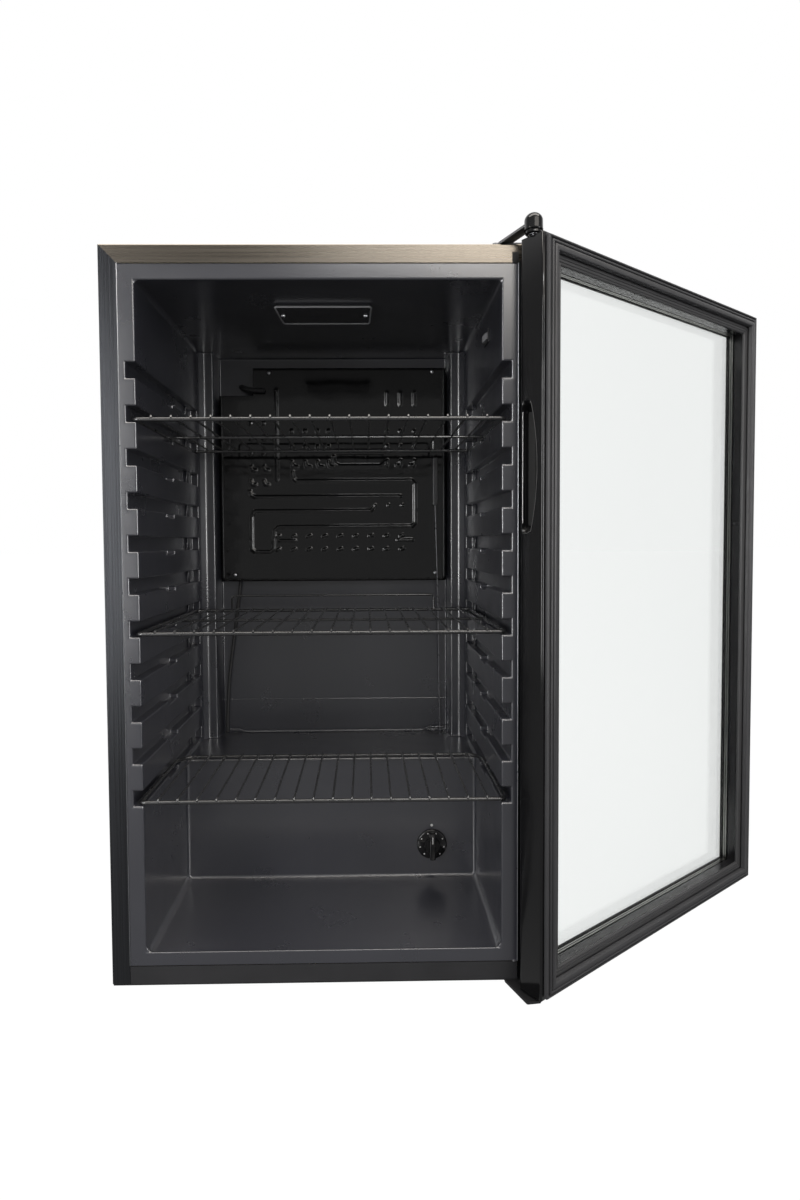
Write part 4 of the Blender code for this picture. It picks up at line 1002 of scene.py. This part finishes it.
def knob():
    """Thermostat knob: skirt, hub, grip bar and dial marks, and the setting mark above it."""
    x, z, face = 0.14, 0.0757, STEP_Y - 0.0006
    bm = bmesh.new()
    turned(bm, [(0, 0.004), (0.0192, 0.0034), (0.0204, 0.0026), (0.021, 0.0014), (0.021, 0.0),
                (0, 0.0)], (x, face, z), "Y", 48)
    turned(bm, [(0, 0.0098), (0.0098, 0.0098), (0.0105, 0.009), (0.0112, 0.0034), (0, 0.0034)],
           (x, face, z), "Y", 40)
    rounded_box(bm, (x - 0.0042, face - 0.0165, z - 0.0172), (x + 0.0042, face - 0.0015, z + 0.0172),
                0.0018)
    body = "thermostat_knob_body"
    piece("thermostat_dial", tidy(bm, 1e-7), GLOSS, body=body, stands_for="thermostat_knob",
          slot="black_gloss_plastic")
    bm = bmesh.new()
    for k in range(8):
        angle = radians(-140 + 40 * k)
        spot = (x + 0.0168 * sin(angle), face - 0.0037, z + 0.0168 * cos(angle))
        turned(bm, [(0, 0.0003), (0.0008, 0.0002), (0.001, 0.0), (0, 0.0)], spot, "Y", 12)
    rounded_box(bm, (x - 0.0006, face - 0.017, z + 0.006), (x + 0.0006, face - 0.0163, z + 0.0155),
                0.0002, 2)
    piece("dial_marks", tidy(bm), MARK, body=body, slot="white_plastic")
    bm = bmesh.new()
    turned(bm, [(0, 0.0004), (0.0016, 0.0003), (0.0019, 0.0), (0, 0.0)],
           (x, STEP_Y - 0.0001, z + 0.0262), "Y", 16)
    piece("setting_mark", tidy(bm), MARK, slot="white_plastic")


# ---- machinery at the back
def condenser():
    """Tube coil with wires welded across it, and brackets to the back panel."""
    coil_y, half, low, pitch, rows, wires = DEPTH + 0.0165, 0.182, 0.215, 0.042, 14, 44
    bm = bmesh.new()
    start = [(0.03, MACHINE_Y + 0.0562, 0.058), (0.04, MACHINE_Y + 0.07, 0.06),
             (0.06, coil_y - 0.012, 0.085), (0.06, coil_y, 0.12),
             (0.04, coil_y, 0.185), (-half * 0.2, coil_y, low - 0.012)]
    route = smooth_route(start, 8)
    radius = pitch / 2
    for row in range(rows):
        side = 1 if row % 2 == 0 else -1
        z = low + row * pitch
        route += [Vector((-side * half, coil_y, z)), Vector((side * half, coil_y, z))]
        if row < rows - 1:
            for k in range(1, 12):
                angle = -pi / 2 + pi * k / 12
                route.append(Vector((side * (half + radius * cos(angle)), coil_y,
                                     z + radius + radius * sin(angle))))
    tube(bm, route, 0.00238, 12, domed=True)
    top = low + (rows - 1) * pitch
    for k in range(wires):
        wire_x = -half + 0.004 + k * (2 * half - 0.008) / (wires - 1)
        tube(bm, [(wire_x, coil_y - 0.0029, low - 0.006), (wire_x, coil_y - 0.0029, top + 0.006)],
             0.0008, 6, domed=True)
    for side in (-1, 1):
        for z in (low + pitch * 1.5, top - pitch * 1.5):
            edge = side * (half - 0.012)
            rounded_box(bm, (edge - 0.006, DEPTH - 0.0005, z - 0.028),
                        (edge + 0.006, DEPTH + 0.0007, z + 0.028), 0.0004, 2)
            rounded_box(bm, (edge - 0.0006, DEPTH, z - 0.026),
                        (edge + 0.0006, coil_y - 0.001, z + 0.026), 0.0004, 2)
    piece("condenser", tidy(bm, 1e-7), METAL, stands_for="condenser_coil",
          slot="black_coated_metal")


def compressor():
    """Compressor shell with its weld seam and its service tube."""
    y, top, foot = MACHINE_Y, 0.132, 0.0155
    bm = bmesh.new()
    profile = [(0, top), (0.012, top - 0.0004), (0.026, top - 0.003), (0.04, top - 0.0095),
               (0.05, top - 0.019), (0.056, top - 0.032), (0.0585, top - 0.048),
               (0.0585, 0.069), (0.0602, 0.0682), (0.0605, 0.0665), (0.0605, 0.0635),
               (0.0602, 0.0618), (0.0585, 0.061), (0.0578, 0.046), (0.054, 0.032),
               (0.046, 0.0215), (0.034, foot), (0, foot)]
    turned(bm, profile, (0, y, 0), steps=64)
    service_tube = [(-0.052, y + 0.022, 0.052), (-0.06, y + 0.03, 0.053),
                    (-0.064, y + 0.034, 0.06), (-0.066, y + 0.036, 0.082)]
    tube(bm, smooth_route(service_tube), 0.0026, 12, domed=True)
    piece("compressor_dome", tidy(bm), METAL, stands_for="compressor_shell",
          slot="black_coated_metal")


def rear_screws():
    """Screws of the rear panel, up both sides and along its top."""
    bm = bmesh.new()
    head = [(0, -0.0014), (0.002, -0.0012), (0.0034, -0.0004), (0.0036, 0.0), (0, 0.0)]
    for side in (-1, 1):
        for z in (0.195, 0.34, 0.5, 0.66, 0.805):
            turned(bm, head, (side * 0.231, DEPTH - 0.0009, z), "Y", 16)
    for x in (-0.15, 0.0, 0.15):
        turned(bm, head, (x, DEPTH - 0.0009, 0.812), "Y", 16)
    piece("rear_screws", tidy(bm), ZINC, slot="zinc_plated_steel")


# ---- small parts at the front
def front_details():
    """Notch by the upper hinge corner as a black box, a painted shade; mitre seams; plinth's tab; and
    the casing's lips in lighter steel, a painted highlight on its folded edges.
    """
    notch, seams, tab, lip_highlights = (bmesh.new() for _ in range(4))
    # painted shade: a black box on the casing's face where the notch by the upper hinge is dark
    rounded_box(notch, (0.2128, -0.0001, 0.8045), (0.22, 0.0012, 0.8165), 0.0003, 2)
    rounded_box(tab, (0.2145, -0.0002, 0.0204), (0.2193, 0.0011, 0.0216), 0.0003, 2)
    for side in (-1, 1):
        x, z = side * (WIDTH / 2 - BAND), HEIGHT - BAND
        tube(seams, [(x, 0, z), (side * (WIDTH / 2 - 0.0006), 0, HEIGHT - 0.0006)], 0.00022, 6)
        # painted highlight: a tube of lighter steel along each folded inner edge of the casing
        tube(lip_highlights, [(x, 0.0008, 0.0212), (x, 0.0008, z)], 0.0006, 8, domed=True)
    piece("corner_notch_shade", tidy(notch), BLACK_SEAM_AND_SHADE, slot="black_matte_plastic")
    piece("mitre_seams", tidy(seams, 1e-7), BLACK_SEAM_AND_SHADE, slot="black_matte_plastic")
    piece("plinth_tab", tidy(tab), ZINC, slot="zinc_plated_steel")
    piece("casing_lip_highlight", tidy(lip_highlights, 1e-7), LIP_HIGHLIGHT_STEEL, slot="brushed_black_steel")


def back_wall_bead():
    """Raised line across the liner's back wall, and the lip of the gutter below it."""
    bead_z, gutter_y, low = 0.251, BACK_Y - 0.005, STEP_Z + 0.0014
    bm = bmesh.new()
    tube(bm, [(-BACK_X, BACK_Y, bead_z), (BACK_X, BACK_Y, bead_z)], 0.0007, 8)
    gutter = [(-0.168, 0.004), (-0.152, 0.004), (-0.143, 0), (0.138, 0), (0.148, 0.005),
              (0.172, 0.005)]
    tube(bm, [(x, gutter_y, low + rise) for x, rise in gutter], 0.0009, 8, domed=True)
    piece("back_wall_bead", tidy(bm, 1e-7), LINER, slot="graphite_liner")


# ---- studio
def light_path(tree):
    """Light Path outputs, and 1 on rays that come from the camera or through the glass."""
    rays = tree.nodes.new("ShaderNodeLightPath").outputs
    return rays, maths(tree, "MAXIMUM", rays["Is Camera Ray"], rays["Is Transmission Ray"])


def studio():
    """Pale floor, pale surroundings and large soft lights in front of the object."""
    scene = bpy.context.scene
    scene.view_settings.view_transform = "Standard"
    pure_white = (1.0, 1.0, 1.0, 1.0)
    bm = bmesh.new()
    bmesh.ops.create_grid(bm, x_segments=2, y_segments=2, size=40.0)
    floor = linked("floor", mesh_of("floor", bm))
    pale, tree, made = shader("pale_floor", (0.02, 0.02, 0.02), 0.85, Specular_IOR_Level=0.0,
                              Emission_Color=pure_white)
    rays, seen = light_path(tree)
    mirrored = maths(tree, "MULTIPLY", rays["Is Glossy Ray"], 0.2)
    feed(tree, made, Emission_Strength=maths(tree, "MAXIMUM", seen, mirrored))
    pale.cycles.emission_sampling = "NONE"
    floor.data.materials.append(pale)

    world = bpy.data.worlds.new("studio_sky")
    world.use_nodes = True
    scene.world = world
    tree = world.node_tree
    sky = tree.nodes["Background"]
    where = tree.nodes.new("ShaderNodeTexCoord")
    parts = node(tree, "ShaderNodeSeparateXYZ", Vector=where.outputs["Generated"])
    off_axis = ranged(tree, parts.outputs["Y"], 0.06, 0.3, -0.97, -0.86)
    sideways = ranged(tree, parts.outputs["Y"], 1.0, 0.6, -0.5, 0.0)
    front = maths(tree, "MULTIPLY", off_axis, sideways)
    behind = ranged(tree, parts.outputs["Y"], 0.2, 1.0, 0.1, 0.6)
    seen = light_path(tree)[1]
    level = maths(tree, "MAXIMUM", maths(tree, "MAXIMUM", front, behind), seen)
    feed(tree, sky, Color=pure_white, Strength=level)

    def soft_light(name, place, aim, width, height, power, colour=(1, 1, 1), glossy=True,
                   diffuse=True):
        data = bpy.data.lights.new(name, "AREA")
        data.shape = "RECTANGLE"
        data.size, data.size_y = width, height
        data.energy = power
        data.color = colour
        lamp = linked(name, data)
        lamp.location = place
        lamp.rotation_euler = (Vector(aim) - Vector(place)).to_track_quat("-Z", "Y").to_euler()
        lamp.visible_glossy = glossy
        lamp.visible_diffuse = diffuse
        lamp.visible_camera = False
        lamp.visible_transmission = False

    soft_light("high_soft_box", (0.98, -2.05, 1.95), (0.0, 0.0, 0.6), 1.9, 1.0, 15,
               (1.0, 0.94, 0.86))
    soft_light("front_fill", (-0.2, -2.8, 1.6), (-0.1, 0.0, 0.45), 3.0, 3.0, 14, glossy=False)
    soft_light("overhead_key", (-0.1, -0.55, 2.2), (-0.1, 0.0, 0.4), 2.6, 0.8, 34, (1.0, 0.95, 0.88))
    for side in (-1, 1):
        soft_light(f"side_panel_{side}", (1.6 * side, -1.44, 0.6), (0.0, 0.0, 0.45), 1.3, 1.2, 14)
        soft_light(f"side_strip_{side}", (1.3 * side, -1.45, 0.75), (0.0, 0.2, 0.5), 0.07, 1.3, 9,
                   diffuse=False)
    soft_light("high_strip", (0.22, -1.7, 1.55), (0.0, 0.2, 0.6), 1.0, 0.1, 3.6, diffuse=False)


def camera():
    """The viewpoint: close in front of the cabinet, a little above mid-height, wide lens."""
    data = bpy.data.cameras.new("camera")
    data.lens = 21.29
    data.sensor_width = 36.0
    data.sensor_fit = "AUTO"
    data.shift_x = 0.01925
    data.shift_y = -0.0236
    data.clip_start = 0.01
    obj = linked("camera", data)
    yaw, pitch, roll = radians(0.84), radians(-2.27), radians(-0.34)
    forward = Vector((sin(yaw) * cos(pitch), cos(yaw) * cos(pitch),
                      sin(pitch)))
    right = forward.cross(Vector((0, 0, 1))).normalized()
    up = right.cross(forward)
    right, up = (cos(roll) * right + sin(roll) * up,
                 cos(roll) * up - sin(roll) * right)
    turn = Matrix((right, up, -forward)).transposed().to_4x4()
    obj.matrix_world = Matrix.Translation(ORIGIN + Vector((0.0507, -0.789, 0.4977))) @ turn
    bpy.context.scene.camera = obj


repaint_nodes()
camera()
studio()
liner()
evaporator()
shelf("top_shelf", 1, 0.281, True, 0.008)
shelf("middle_shelf", 6, 0.281, True, 0.008)
shelf("lower_shelf", 10, 0.176, False, 0.024)
door_frame()
door_seal()
glazing_spacer()
edge_trims()
hinges()
lamp_cover()
knob()
condenser()
compressor()
rear_screws()
front_details()
back_wall_bead()

bpy.context.view_layer.update()
